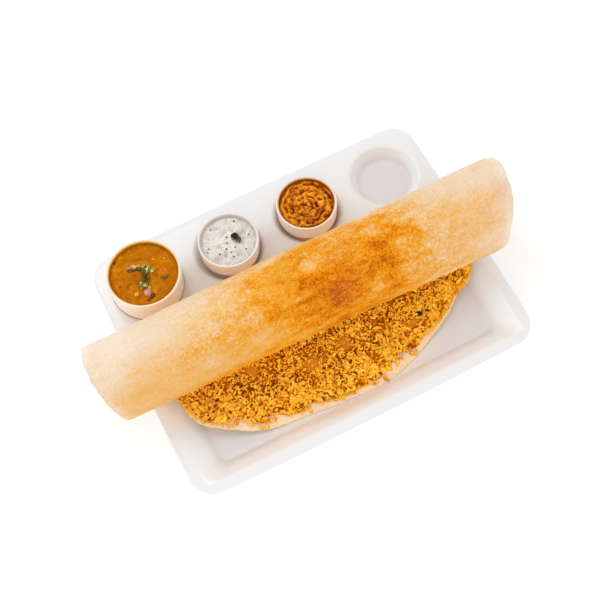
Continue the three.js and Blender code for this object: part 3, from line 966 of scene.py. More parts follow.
# Browning of the outside, at places by X and distance along the crepe, with the reach both ways.
browning = {
    "ground": 0.36,
    "warp": 7.0,
    # washes of tone laid over each other: place, reach, tone and strength
    "washes": [
        (-190, 95, 95, 44, 0.04, 1.0), (-120, 105, 52, 32, 0.16, 0.9),
        (-215, 160, 22, 60, 0.24, 0.7), (-120, 165, 80, 24, 0.36, 0.8),
        (-110, 148, 26, 8, 0.46, 0.6), (-70, 196, 95, 9, 0.58, 0.9),
        (8, 148, 90, 56, 0.76, 1.0), (-28, 122, 34, 22, 0.66, 0.8), (-74, 112, 20, 15, 0.38, 0.8),
        (150, 150, 40, 60, 0.33, 0.8), (176, 108, 66, 28, 0.1, 0.9), (204, 150, 24, 80, 0.12, 0.8),
        (22, 102, 26, 16, 0.7, 0.8), (8, 164, 19, 17, 0.86, 0.85), (4, 190, 14, 14, 0.78, 0.5),
        (13, 153, 9, 8, 0.97, 0.9), (36, 147, 12, 6, 0.86, 0.85), (72, 148, 11, 20, 0.86, 0.8),
        (86, 126, 11, 15, 0.8, 0.75), (-10, 140, 12, 6, 0.8, 0.8), (-38, 154, 18, 5, 0.74, 0.8),
        (-34, 170, 13, 5, 0.7, 0.7), (68, 184, 16, 8, 0.82, 0.8), (12, 199, 22, 10, 0.9, 0.85),
        (46, 199, 15, 8, 0.86, 0.8), (102, 140, 8, 9, 0.62, 0.6), (-48, 139, 13, 6, 0.42, 0.8),
        (7, 123, 17, 6, 0.42, 0.85), (47, 178, 9, 6, 0.46, 0.8), (48, 111, 13, 7, 0.4, 0.8),
        (26, 111, 9, 5, 0.42, 0.7), (-60, 176, 26, 7, 0.44, 0.6), (35, 128, 12, 6, 0.48, 0.6),
        (112, 88, 62, 10, 0.1, 0.85), (-15, 93, 58, 11, 0.28, 0.75), (-76, 140, 22, 36, 0.26, 0.35),
        (42, 122, 38, 13, 0.45, 0.35), (178, 188, 26, 22, 0.1, 0.6), (132, 213, 22, 9, 0.1, 0.8),
        # the wash at (-68, 208) lightens the roll's shaded lower front: painted light
        (60, 194, 8, 8, 0.86, 0.6), (-68, 208, 44, 8, 0.4, 0.7), (-61, 164, 13, 16, 0.3, 0.5),
        (-80, 116, 13, 12, 0.28, 0.4), (48, 116, 40, 12, 0.48, 0.5), (101, 122, 7, 8, 0.7, 0.5),
        (-60, 122, 8, 8, 0.64, 0.55), (-60, 142, 7, 6, 0.58, 0.45), (-75, 152, 16, 4, 0.52, 0.4),
        (-40, 142, 7, 6, 0.42, 0.45), (-82, 121, 8, 9, 0.18, 0.4), (-20, 163, 8, 6, 0.55, 0.4),
        (80, 142, 6, 6, 0.86, 0.4), (-108, 173, 18, 6, 0.28, 0.4), (-138, 187, 11, 9, 0.46, 0.5),
        (-204, 128, 15, 26, 0.03, 0.5), (-60, 102, 10, 7, 0.24, 0.5), (40, 103, 11, 7, 0.42, 0.5),
    ],
    # redder where positive, yellower where negative
    "rosy": [(20, 160, 36, 16, 1.0), (30, 130, 16, 13, 0.8), (195, 145, 22, 22, 0.6),
             (-38, 118, 40, 18, -0.9), (-25, 190, 34, 9, -1.0), (-110, 120, 30, 20, -0.5)],
}


def browningAt(x, arc):
    warpX = x + browning["warp"] * lumpy(x, arc, 22, 3, 1.1)
    warpArc = arc + 0.8 * browning["warp"] * lumpy(x, arc, 19, 3, 9.4)
    tone = np.full(np.shape(x), browning["ground"])
    for *where, wash, strength in browning["washes"]:
        tone += strength * np.exp(-awayFrom(warpX, warpArc, *where) ** 1.5) * (wash - tone)
    return tone


def rosinessAt(x, arc):
    rosy = sum(share * np.exp(-awayFrom(x, arc, *where)) for *where, share in browning["rosy"])
    return rosy + 0.4 * lumpy(x, arc, 15, 2, 6.1)


# Spice oil from the heap, and warm light that the heap and the tray throw back onto the roll. A
# span over X says where it starts, is full, fades and ends, and a pair runs from none to full.
spiceOil = {
    # the band low on the roll: spice oil, and painted light on its shaded underside
    "onRoll": (207, 10),    # distance along the crepe, and reach
    "onRollX": (-170, -90, 105, 150),
    "raggedness": 2.5,
    "creep": (3, -2),    # out from the heap's front
    "rightEnd": (158, 146),
    "tipX": (66, 112, 158, 176),    # it creeps further towards the right tip
    "tipCreep": (11, 5),
    "forwards": (4, -26),    # out from under the roll
    "cleanEdge": (0.4, 3.4),    # back from the flap's edge
    "soakedEdge": (122, 136),    # but the edge is soaked right of here
}
heapLight = {
    "alongHeap": (205, 12),
    "alongHeapX": (-185, -165, 140, 170),
    "stronger": (-22, -45),    # towards the left
    "atRight": (213, 8),
    "atRightX": (98, 115, 145, 160),
}


def onCrepe(x, arc, traces, name):    # a band along the crepe, over its span of X
    at, reach = traces[name]
    return bump(arc - at, reach) * within(x, *traces[name + "X"])


def fillingStain(x, arc):    # on the flap round the heap, and low on the roll
    beyond = fillingFront(x) - arc
    patches = mix(0.5, 1.0, smoothStep(-0.3, 0.25, lumpy(x, 0 * x, 16, 2, 2.2)))
    creep = beyond + spiceOil["raggedness"] * lumpy(x, arc, 9, 2, 4.4)
    stain = smoothStep(*spiceOil["creep"], creep) * smoothStep(*spiceOil["rightEnd"], x)
    atTip = within(x, *spiceOil["tipX"]) * smoothStep(*spiceOil["tipCreep"], beyond)
    stain = np.maximum(stain, atTip) * smoothStep(*spiceOil["forwards"], arc)
    stain *= smoothStep(filling["left"] - 4, filling["left"] + 2, x)
    stain *= np.maximum(smoothStep(*spiceOil["cleanEdge"], arc - flapEdge(x)),
                        smoothStep(*spiceOil["soakedEdge"], x))
    # low on the roll: spice oil, and painted light that lightens the roll's shaded underside
    return np.where(arc < 20, stain, onCrepe(x, arc, spiceOil, "onRoll") * patches)


def thrownLight(x, arc):
    alongHeap = onCrepe(x, arc, heapLight, "alongHeap")
    alongHeap *= mix(0.3, 1.0, smoothStep(*heapLight["stronger"], x))
    return np.maximum(alongHeap, onCrepe(x, arc, heapLight, "atRight"))


def makeDosa(finish):
    rows, columns = crepe["rows"], crepe["columns"]
    firstAngle = math.radians(crepe["firstAngle"])
    angle = np.linspace(firstAngle, math.pi - firstAngle, rows + 1)[:, None]
    t = np.linspace(-1, 1, columns + 1)[None, :]
    t = t * (1.2 - 0.2 * t ** 2)    # closer together towards the edges
    across = t * np.sin(angle)
    along = -np.cos(angle) + 0 * t
    bearing = np.degrees(np.arctan2(across, -along))
    ragged = lumpy(bearing * 3.8, 0 * across, 13, 3, 3.3)    # 3.8 mm to a degree
    radius = crepeRadius(bearing) + crepe["raggedness"] * ragged
    x = crepe["centreX"] + radius * across
    arc = crepe["centreArc"] + radius * along
    fromEdge = radius * (1 - np.hypot(across, along))
    wobble = crepe["wobble"] * lumpy(x, arc, 16, 3, 0.4)
    edgeCurl = crepe["edgeCurl"] * lumpy(x, arc, 24, 2, 5.2)
    edgeCurl *= np.exp(-fromEdge / crepe["curlReach"])
    quiet = smoothStep(-6, 18, arc)    # the part that lies on the tray keeps its height
    offset = (wobble + edgeCurl) * mix(0.35, 1.0, quiet)
    toEdge = smoothStep(0, crepe["edgeReach"], fromEdge)
    half = mix(crepe["edgeThickness"], crepe["thickness"], toEdge) / 2
    middle, normal = sheetPoint(x, arc), sheetNormal(x, arc)
    points = np.concatenate([(middle + normal * (offset + way * half)[..., None]).reshape(-1, 3)
                             for way in (1, -1)])    # the inner side first
    mesh = makeMesh("dosa_crepe", points, closedSheet(rows, columns))
    tone = browningAt(x, arc)
    # the ends are evenly pale, and the marks grow stronger with the browning
    mottling = mix(0.2, 1.0, smoothStep(0.05, 0.6, tone))
    mottling *= mix(1.0, 0.5, smoothStep(105, 165, np.abs(x)))
    mottling *= 1 - 0.5 * smoothStep(135, 172, arc) * smoothStep(-30, -62, x)
    innerSide = np.repeat([1.0, 0.0], x.size)

    def both(values):
        return np.tile(np.ravel(values), 2)

    storeValues(mesh, browning=both(tone), mottling=both(mottling),
                stain=both(fillingStain(x, arc)), rosy=both(rosinessAt(x, arc)),
                thrown=both(thrownLight(x, arc)) * (1 - innerSide),
                fromEdge=both(np.minimum(fromEdge, 40)), innerSide=innerSide)
    storePlaces(mesh, "crepePlace", np.stack([both(x) * mm, both(arc) * mm, innerSide * 0.7], -1))
    showPiece("dosa_crepe", mesh, finish, ["dosa"])


def dosaFinish():
    skin = Finish("griddledCrepe", Specular_IOR_Level=0.05, Emission_Strength=0.15)
    place = skin.place("crepePlace")
    streaky = skin.place("crepePlace", stretch=(0.55, 1.0, 1.0), turn=(0, 0, math.radians(12)))
    fine = skin.noise(place, 1.7, 3, 0.75, 0.6)
    grain = skin.noise(place, 3.6, 4, 0.72, 0.5)
    blotch = skin.noise(streaky, 10, 5, 0.68, 0.5)
    broad = skin.noise(streaky, 17, 4, 0.6, 0.6)
    pit = skin.cell(place, 2.3)
    mottle = skin.unevenness((fine, 1.05), (grain, 0.9), (blotch, 0.95), (broad, 0.6))
    paleEdge = skin.span(skin.value("fromEdge"), 0.0, 11.0, 0.12, 0.0)
    tone = skin.value("browning") + mottle * skin.value("mottling") - paleEdge
    rosy = skin.value("rosy") + 1.2 * (blotch - 0.5)
    outer = skin.ramp(tone, crepe["outerTones"])
    outer = skin.layered(
        outer,
        (skin.span(pit, 0.2, 0.08) * 0.25, skin.blend(0.5, outer, crepe["pore"])),
        (skin.span(rosy, 0.0, 1.2, 0.0, 0.25), crepe["rosy"]),
        (skin.span(rosy, 0.0, -1.2, 0.0, 0.27), crepe["sallow"]))
    # grain that darkens without browning
    shade = 1 - skin.unevenness((fine, 0.22), (grain, 0.14))
    outer = skin.blend(1.0, outer, shade, "MULTIPLY")
    stain = skin.value("stain")
    # the band low on the roll: spice oil, partly painted light on the shaded underside
    rollOilAndLight = skin.span(stain + 0.5 * (grain - 0.5), 0.15, 0.9, 0.0, 0.7)
    outer = skin.blend(rollOilAndLight, outer, crepe["rollOilAndLight"])
    innerTone = 0.42 + skin.unevenness((fine, 0.8), (grain, 0.8))
    innerStain = skin.span(stain + 0.8 * (grain - 0.5), 0.15, 0.85)
    inner = skin.blend(innerStain, skin.ramp(innerTone, crepe["innerTones"]),
                       skin.ramp(innerTone, crepe["stainTones"]))
    skin.glow(skin.value("thrown"), crepe["thrownLight"])
    skin.relief((skin.span(pit, 0.0, 0.3), 0.12), (fine, 0.3), (grain, 0.45))
    return skin.finished(skin.blend(skin.value("innerSide"), outer, inner),
                         skin.span(tone, 0.2, 0.9, 0.62, 0.5))


makeDosa(dosaFinish())
print("dosa made")


# filling

openSky = 1e3    # stands for no roll overhead


def rollUnderside(x, arc):    # height of the roll's underside over a place in front of its foot
    tubeRadius, _, z = rollAt(x)
    turn = np.full_like(x, 2 * math.pi, dtype=float)
    for _ in range(10):
        radius = tubeRadius - roll["tuckDepth"] * tuckShare(turn) + crepe["thickness"] / 2
        turn = 2 * math.pi - np.arcsin(np.clip(-arc / radius, -0.97, 0.97))
    return np.where(-arc / radius < 0.9, z - radius * np.cos(turn), openSky)


def fillingGrid(rows, columns):    # X, distance along the flap, bed and heap over it, front to back
    end = filling["endShare"]
    row = np.linspace(0, 1, rows + 1)[:, None]
    share = np.linspace(end, 1 - end, columns + 1)[None, :]
    across = -np.cos(share * math.pi) / math.cos(end * math.pi) + 0 * row
    row = row + 0 * across
    x = mix(filling["left"], filling["right"], (1 + across) / 2)
    blunt = bluntShare(x)
    arc = mix(fillingFront(x), mix(filling["endFront"], filling["back"], blunt), row)
    bed = flapHeight(x, arc) + crepe["thickness"] / 2 + filling["clearance"]
    pile = filling["pile"]
    fade = np.minimum(1, 1.8 * row) * (1 - 0.7 * smoothStep(pile["from"], pile["to"], np.abs(x)))
    piled = pile["height"] * fade * smoothStep(pile["foot"], pile["top"], arc)
    rise = filling["thickness"] * mix(0.75, 1.5, row) + piled
    heap = 0.8 + np.minimum(1, 5 * row) * rise * mix(0.5, 1, blunt)
    return x, arc, bed, heap, row


def pasteShare(x, arc):
    share = 0 * x
    for patch in filling["patches"]:
        share = np.maximum(share, np.exp(-awayFrom(x, arc, *patch) ** 2))
    return share


def makeFillingCore(finish):
    rows, columns = filling["rows"], filling["columns"]
    x, arc, bed, heap, _ = fillingGrid(rows, columns)
    y = rollAt(x)[1] + arc
    paste = pasteShare(x, arc)
    relief = 1.1 * lumpy(x, y, 5.5, 3, 2.5) + 0.5 * lumpy(x, y, 2.2, 2, 7.5)
    top = bed + np.maximum(0.62 * heap, heap - 3) + relief * mix(0.7, 0.25, paste) + 0.9 * paste
    top = np.minimum(top, rollUnderside(x, arc) - filling["headroom"])
    top = np.maximum(top, bed + 0.4)
    points = np.concatenate([np.stack([x, y, z], -1).reshape(-1, 3) for z in (top, bed - 0.35)])
    mesh = makeMesh("filling_paste", points, closedSheet(rows, columns))
    storeValues(mesh, paste=np.tile(paste.ravel(), 2), lift=np.tile(relief.ravel(), 2))
    showPiece("filling_paste", mesh, finish, ["filling"])


def pasteFinish():
    paste = Finish("spicedPaste", Specular_IOR_Level=0.05)
    place = paste.place()
    fine = paste.noise(place, 1.3, 4, 0.65)
    cloud = paste.noise(place, 6, 3, 0.6, 0.4)
    # painted light and shade: bumps lighter, dips darker
    tone = 0.4 + 0.2 * paste.value("lift") + paste.unevenness((fine, 0.9), (cloud, 0.7))
    rough, even = (paste.ramp(tone, filling[tones]) for tones in ("roughTones", "evenTones"))
    paste.relief((fine, 0.4), (cloud, 0.5))
    return paste.finished(paste.blend(paste.value("paste"), rough, even),
                          paste.span(cloud, 0.3, 0.7, 0.28, 0.5))


makeFillingCore(pasteFinish())


# crumbs: small shapes strewn over the heap by a geometry node tree

crumbs = {
    # least distance in mm, how many to a square metre at most, smallest and largest in mm, how far
    # they sink in and stand up, and the seed
    "shreds": (1.9, 300000, 4.8, 8.2, 1.3, 2.6, 3),
    "lumps": (2.6, 150000, 3.0, 5.6, 1.4, 1.4, 11),
    "grains": (2.2, 140000, 1.0, 2.0, 0.0, 2.2, 23),
    # those that cling to the roll along the heap, and those that fell on the flap
    "clinging": (1.9, 260000, 2.0, 4.6, 0.5, 0.8, 41),
    "spilled": (1.9, 260000, 1.8, 4.8, 0.2, 1.2, 47),
    "clingTurn": (5.36, 5.17, 5.02),    # lowest, likeliest and highest turn about the roll's axis
    "spillReach": (-8, 1),    # in front of the heap, and behind its front
    "stripColumns": 240,
    "heapGrid": (40, 200),
    "backArc": -18,    # behind this the roll hides the heap
    "headroom": 3.0,    # space kept under the roll
    "tones": [(0.0, "701e00"), (0.18, "bc4800"), (0.34, "f48404"), (0.54, "ffa90e"),
              (0.9, "ffd146")],
    "red": "cc4e06",
    "throughLight": "ff7800",
}


def pebble(seed, size, unevenness, subdivisions=2, bend=0.0):    # an uneven lump
    shape = bmesh.new()
    bmesh.ops.create_icosphere(shape, subdivisions=subdivisions, radius=0.5)
    shift = Vector((seed * 3.7, seed * 1.3, seed * 0.7))
    points = []
    for vertex in shape.verts:
        push = 1 + unevenness * noise.fractal(vertex.co * 2.6 + shift, 1.0, 2.0, 2)
        x, y, z = (push * vertex.co[i] * size[i] for i in range(3))
        points.append([x, y + bend * x * x, z])
    faces = [tuple(vertex.index for vertex in face.verts) for face in shape.faces]
    shape.free()
    return np.array(points), faces


def tube(line, radii, sides=5):    # a rod along a line of points, closed at its ends
    line = np.asarray(line, float)
    along = np.gradient(line, axis=0)
    along /= np.linalg.norm(along, axis=1, keepdims=True)
    aside = np.cross(along, (0.13, 0.21, 0.97))
    aside /= np.linalg.norm(aside, axis=1, keepdims=True)
    upward = np.cross(along, aside)
    points = []
    for middle, a, b, radius in zip(line, aside, upward, radii):
        for u, v, _ in circle((0, 0), 1, 0, sides):
            points.append(middle + radius * (u * a + v * b))
    faces = ringFaces(len(line), sides)
    last = (len(line) - 1) * sides
    points += [line[0], line[-1]]
    for i in range(sides):
        j = (i + 1) % sides
        faces.append((len(points) - 2, j, i))
        faces.append((len(points) - 1, last + i, last + j))
    return np.array(points), faces


def shred(seed):    # a short curled strand, about 1 long
    chance = random.Random(seed)
    bend = chance.uniform(2.2, 5.4)
    twist = chance.uniform(-0.25, 0.25)
    t = np.linspace(-0.5, 0.5, 6)
    curl = np.stack([np.sin(bend * t) / bend, (1 - np.cos(bend * t)) / bend - 0.12, twist * t], -1)
    line = curl + [[chance.uniform(-0.05, 0.05) for _ in range(3)] for _ in t]
    radii = [chance.uniform(0.11, 0.17) * (0.62 if i in (0, 5) else 1.0) for i in range(6)]
    return tube(line, radii)


def facedMesh(name, points, faces):    # a mesh in metres with its faces turned outwards
    shape = bmesh.new()
    corners = [shape.verts.new(point) for point in points]
    for face in faces:
        shape.faces.new([corners[i] for i in face])
    bmesh.ops.recalc_face_normals(shape, faces=shape.faces)
    mesh = bpy.data.meshes.new(name)
    shape.to_mesh(mesh)
    shape.free()
    mesh.shade_smooth()
    return mesh


def shapeCollection(name, shapes):    # small shapes at the origin that the strewing picks from
    group = bpy.data.collections.new(name)
    for number, (points, faces) in enumerate(shapes):
        mesh = facedMesh(f"{name}_{number}", points * mm, faces)
        group.objects.link(bpy.data.objects.new(mesh.name, mesh))
    return group


fullTurn = 6.283
strewFloats = ("Spacing", "Density", "Smallest", "Largest", "Sink", "Rise")
strewInputs = {"Shapes": "Collection", "Finish": "Material",
               **dict.fromkeys(strewFloats, "Float"), "Seed": "Int"}


def strewTree(name):
    tree = bpy.data.node_groups.new(name, "GeometryNodeTree")
    for label, kind in {"Geometry": "Geometry", **strewInputs}.items():
        tree.interface.new_socket(label, in_out="INPUT", socket_type="NodeSocket" + kind)
    tree.interface.new_socket("Geometry", in_out="OUTPUT", socket_type="NodeSocketGeometry")

    # adds a node and gives its one output, or the output with a name
    def add(kind, settings=None, output=None, **inputs):
        node = tree.nodes.new(kind)
        for key, value in (settings or {}).items():
            setattr(node, key, value)
        for key, value in inputs.items():
            socket = next(s for s in node.inputs if s.name == key.replace("_", " ") and s.enabled)
            if isinstance(value, bpy.types.NodeSocket):
                tree.links.new(value, socket)
            else:
                socket.default_value = value
        return next((s for s in node.outputs if s.enabled and output in (None, s.name)), None)

    def stored(name):
        settings = {"data_type": "FLOAT"}
        return add("GeometryNodeInputNamedAttribute", settings, "Attribute", Name=name)

    def chosen(kind, **limits):
        return add("FunctionNodeRandomValue", {"data_type": kind}, **limits)

    given = add("NodeGroupInput").node.outputs
    seed = given["Seed"]
    points = add("GeometryNodeDistributePointsOnFaces", {"distribute_method": "POISSON"}, "Points",
                 Mesh=given["Geometry"], Distance_Min=given["Spacing"],
                 Density_Max=given["Density"], Density_Factor=stored("cover"), Seed=seed)
    upward = points.node.outputs["Normal"]
    tone = chosen("FLOAT", Min=0.0, Max=1.0, Seed=seed)    # painted shade: the ones sunk deeper are darker, those on top brighter
    lift = add("ShaderNodeMapRange", Value=tone, To_Min=given["Sink"], To_Max=given["Rise"])
    offset = add("ShaderNodeVectorMath", {"operation": "SCALE"}, Vector=upward, Scale=lift)
    noted = add("GeometryNodeStoreNamedAttribute", {"data_type": "FLOAT", "domain": "POINT"},
                Geometry=points, Name="tone", Value=tone)
    raised = add("GeometryNodeSetPosition", Geometry=noted, Offset=offset)
    size = chosen("FLOAT", Min=given["Smallest"], Max=given["Largest"], Seed=5)
    scale = add("ShaderNodeVectorMath", {"operation": "SCALE"}, Vector=size, Scale=stored("larger"))
    turn = chosen("FLOAT_VECTOR", Max=(fullTurn,) * 3, Seed=seed)
    picked = add("GeometryNodeCollectionInfo", Collection=given["Shapes"], Separate_Children=True,
                 Reset_Children=True)
    placed = add("GeometryNodeInstanceOnPoints", Points=raised, Instance=picked, Pick_Instance=True,
                 Rotation=turn, Scale=scale)
    real = add("GeometryNodeRealizeInstances", Geometry=placed)    # the points' values come along
    add("NodeGroupOutput", Geometry=add("GeometryNodeSetMaterial", Geometry=real,
                                        Material=given["Finish"]))
    return tree


def strew(name, tree, ground, shapes, finish, sizes):
    carrier = bpy.data.objects.new(name + "_ground", ground)
    bpy.context.scene.collection.objects.link(carrier)
    modifier = carrier.modifiers.new("strewing", "NODES")
    modifier.node_group = tree
    spacing, density, smallest, largest, sink, rise, seed = sizes
    values = dict(zip(strewInputs, (shapes, finish, spacing * mm, float(density), smallest, largest,
                                    -sink * mm, rise * mm, seed)))
    for item in tree.interface.items_tree:
        if item.in_out == "INPUT" and item.name in values:
            modifier[item.identifier] = values[item.name]
    bpy.context.view_layer.update()
    strewn = carrier.evaluated_get(bpy.context.evaluated_depsgraph_get())
    mesh = bpy.data.meshes.new_from_object(strewn)
    mesh.name = name
    bpy.data.objects.remove(carrier)
    mesh.shade_smooth()
    # how far each face turns up, which the finish paints as light and shade
    upward = np.zeros(3 * len(mesh.vertices), np.float32)
    mesh.vertex_normals.foreach_get("vector", upward)
    storeValues(mesh, upward=upward[2::3])
    print(name, "faces:", len(mesh.polygons))
    showPiece(name, mesh, finish)


def crumbFinish():
    crumb = Finish("crumbGold", Specular_IOR_Level=0.03, Emission_Strength=0.1)
    place = crumb.place()
    fine = crumb.noise(place, 0.8, 3, 0.6)
    patch = crumb.noise(place, 16, 3, 0.6)
    # painted light and shade: crumbs sunk deeper, low on the heap or at the back under the roll are
    # darker
    tone = 0.58 * crumb.value("tone") + 0.42 * crumb.value("height")
    tone = tone + crumb.unevenness((fine, 0.5), (patch, 0.6))
    redder = crumb.span(crumb.value("redness") + 1.2 * (fine - 0.5), 0.3, 0.9)
    # painted light and shade: faces turned up yellower, faces turned down darker red-brown
    base = crumb.ramp(tone + 0.46 * crumb.value("upward") - 0.12, crumbs["tones"])
    crumb.glow(crumb.span(tone, 0.4, 1.05), crumbs["throughLight"])
    crumb.relief((fine, 0.25))
    return crumb.finished(crumb.blend(0.45 * redder, base, crumbs["red"]),
                          crumb.span(fine, 0.3, 0.7, 0.35, 0.55))


def groundMesh(name, points, cover, **shares):    # a grid with the shares that the strewing reads
    rows, columns = points.shape[0] - 1, points.shape[1] - 1
    mesh = makeMesh(name, points.reshape(-1, 3), sheetFaces(rows, columns))
    # height paints light and shade: higher is brighter
    given = {"cover": cover, "larger": 1, "height": 0.6, "redness": 0.2, **shares}
    storeValues(mesh, **{key: value + 0 * cover for key, value in given.items()})
    return mesh


def strip(low, high, rows, left, right):    # X and the measure across a strip along the heap
    columns = crumbs["stripColumns"]
    across = np.linspace(low, high, rows + 1)[:, None] + np.zeros(columns + 1)
    x = np.linspace(filling["left"] + left, filling["right"] + right, columns + 1)
    return x + 0 * across, across


def clingingGround():    # a band on the outside of the roll, just above the heap
    low, likely, high = crumbs["clingTurn"]
    x, turn = strip(low, high, 10, 8, -4)
    patches = smoothStep(-0.05, 0.3, lumpy(x, 40 * turn, 11, 2, 5.5))
    return groundMesh("clinging_ground", onRoll(x, turn, crepe["thickness"] / 2),
                      patches * bump(turn - likely, 0.09))


def spilledGround():    # a strip of the flap along the front of the heap
    x, before = strip(*crumbs["spillReach"], 8, 4, 4)
    arc = fillingFront(x) + before
    patches = smoothStep(-0.2, 0.3, lumpy(x, arc, 10, 2, 8.5))
    patches += smoothStep(90, 130, x) + smoothStep(-92, -104, x)
    within = smoothStep(1.8, 4.5, arc - flapEdge(x))
    return groundMesh("spilled_ground", onFlap(x, arc, crepe["thickness"] / 2 + 0.3),
                      # the spilled crumbs are painted brighter
                      np.clip(patches, 0, 1) * within * 0.85, height=0.8)


def heapGround(withEdge):    # the top of the heap
    x, arc, bed, heap, row = fillingGrid(*crumbs["heapGrid"])
    y = rollAt(x)[1] + arc
    uneven = lumpy(x, y, 6.5, 2, 6.6)
    top = bed + heap + (2.6 * uneven - 1.9) * np.minimum(1, 5 * row)
    roof = rollUnderside(x, arc) - crumbs["headroom"]
    top = np.maximum(np.minimum(top, roof), bed + 0.6)
    cover = (arc < crumbs["backArc"]) * (roof - bed > 1.5)
    cover = cover * (1 - 0.9 * smoothStep(0.3, 0.95, pasteShare(x, arc)))
    cover = cover * np.clip(0.75 + 0.5 * lumpy(x, y, 8, 2, 1.9), 0.3, 1)
    if not withEdge:    # long shreds would hang over its front
        cover = cover * smoothStep(0.0, 0.09, row)
    front, hindmost = smoothStep(0.45, 0.0, row), smoothStep(0.5, 0.9, row)
    # height paints light and shade: lighter on rises, at the front and to the left, darker at the
    # back
    height = 0.5 + 0.9 * uneven + 0.3 * front - 0.3 * hindmost + 0.22 * smoothStep(80, 125, -x)
    redness = 0.65 * smoothStep(70, 150, -x) + 0.5 * lumpy(x, y, 14, 2, 3.1) - 0.15
    larger = 1 + 0.35 * smoothStep(0.4, 0.05, row) - 0.1 * row
    return groundMesh("crumb_ground", np.stack([x, y, top], -1), cover,
                      larger=larger, height=height, redness=redness)


def makeCrumbs(finish):
    tree = strewTree("strewing")
    shreds = shapeCollection("shred", [shred(seed) for seed in range(9)])
    lumps = shapeCollection("lump", [pebble(seed, (1.45, 0.75, 0.6), 0.75, bend=0.7)
                                     for seed in range(9)])
    grains = shapeCollection("grain", [pebble(seed + 30, (1.2, 0.9, 0.8), 0.5, 1)
                                       for seed in range(5)])
    for kind, ground, shapes in (("shreds", heapGround(False), shreds),
                                 ("lumps", heapGround(True), lumps),
                                 ("grains", heapGround(True), grains),
                                 ("clinging", clingingGround(), lumps),
                                 ("spilled", spilledGround(), lumps)):
        strew("filling_" + kind, tree, ground, shapes, finish, crumbs[kind])
    for group in (shreds, lumps, grains):
        for item in list(group.objects):
            bpy.data.objects.remove(item)
        bpy.data.collections.remove(group)


makeCrumbs(crumbFinish())
print("filling made")


# garnish

def turnedTo(shape, at, yaw=0.0, tilt=0.0, lean=0.0):    # sets a shape down at a place, by degrees
    points, faces = shape
    turn = Matrix.Identity(3)
    for angle, axis in ((yaw, "Z"), (tilt, "Y"), (lean, "X")):
        turn = turn @ Matrix.Rotation(math.radians(angle), 3, axis)
    return np.asarray(points) @ np.array(turn).T + np.asarray(at, float), faces


toneStep = 0.618    # neighbouring shapes differ in tone


def makeGarnish(name, shapes, finish):
    points, faces, tones = [], [], []
    for number, (shapePoints, shapeFaces) in enumerate(shapes):
        faces += [[len(points) + i for i in face] for face in shapeFaces]
        points.extend(shapePoints)
        tones += [(number * toneStep) % 1.0] * len(shapePoints)
    mesh = facedMesh(name, trayMiddle + mm * np.array(points), faces)
    storeValues(mesh, tone=tones)
    showPiece(name, mesh, finish)


# lies along X from 0, folded a little on its rib
def leaf(length, width, bend, seed, thickness=0.3, lobed=0.0):
    rows, columns = 18, 8
    t = np.linspace(0, 1, rows + 1)[:, None]
    s = np.linspace(-1, 1, columns + 1)[None, :]
    half = width / 2 * (np.sin(math.pi * t ** 0.75) ** 0.8 + 0.04)
    half = half * (1 + lobed * np.sin(14 * t + 2 * seed))
    x = length * t + 0 * s
    y = half * s + 0.1 * length * np.sin(2.2 * t + seed) * bend
    z = bend * length * np.sin(math.pi * t) * 0.35 + 0.28 * half * np.abs(s)
    z = z + 0.05 * width * np.sin(9 * t + 3 * s + seed)
    points = [np.stack([x, y, z + side * thickness / 2], -1).reshape(-1, 3) for side in (1, -1)]
    return np.concatenate(points), closedSheet(rows, columns)


def strand(points, thickness):    # a stalk or strip through the points
    line = smoothLine(points, 5)
    t = np.linspace(0, 1, len(line))
    return tube(line, thickness / 2 * (0.45 + 0.55 * np.sin(math.pi * t) ** 0.35), 7)


def leafFinish(name, stops):
    green = Finish(name, Roughness=0.5, Specular_IOR_Level=0.12)
    place = green.place()
    fine = green.noise(place, 1.0, 4, 0.6)
    cloud = green.noise(place, 4, 3)
    green.relief((fine, 0.15))
    tone = 0.35 + 0.35 * green.value("tone") + green.unevenness((fine, 0.7), (cloud, 0.7))
    return green.finished(green.ramp(tone, stops))


def bitFinish(name, stops, roughness):
    bit = Finish(name, Specular_IOR_Level=0.3)
    fine = bit.noise(bit.place(), 0.9, 4, 0.65)
    base = bit.ramp(0.35 + 0.4 * bit.value("tone") + 0.9 * (fine - 0.5), stops)
    bit.relief((fine, 0.2))
    return bit.finished(base, bit.span(fine, 0.3, 0.7, roughness - 0.1, roughness + 0.12))


garnish = {
    # the palest stop of leafGreen paints highlights on the coriander
    "leafGreen": [(0.05, "2c3a06"), (0.3, "5e741a"), (0.55, "a0b052"), (0.8, "eaeac0")],
    "stalkGreen": [(0.1, "342602"), (0.4, "5a4806"), (0.7, "847018"), (0.92, "b8a44c")],
    "curryLeaf": [(0.1, "16140a"), (0.45, "302e0a"), (0.7, "56581e"), (0.92, "a2a666")],
    "charred": [(0.1, "100802"), (0.5, "261404"), (0.85, "5c360a")],
    "mustardSeed": [(0.1, "0d0a09"), (0.5, "1e1814"), (0.9, "3a2f28")],
    # sprigs on the sambar: start, end, spread, how many leaves, seed and size
    "coriander": [((2.2, 8.6), (7.0, 0.4), 1.3, 17, 3, 3.9),
                  ((-7.2, -8.8), (-0.6, -13.2), 1.0, 11, 8, 3.8)],
    "stalks": [((3.4, 4.4), (-1.6, -9.4), 1.5, 22, 5, 3.6),
               ((-4.5, 8.8), (2.6, 7.4), 0.8, 9, 6, 3.2)],
    "seedPlaces": [(14.3, 18.1), (-10.2, 19.9), (21.0, -2.6), (11.7, -15.7), (-2.4, -17.9),
                   (-13.8, -9.0), (-20.6, 1.3), (-23.6, -1.6), (-5.3, -6.8), (3.0, -9.3),
                   (-2.8, -12.4), (0.4, 4.7), (-1.9, -1.2)],
}

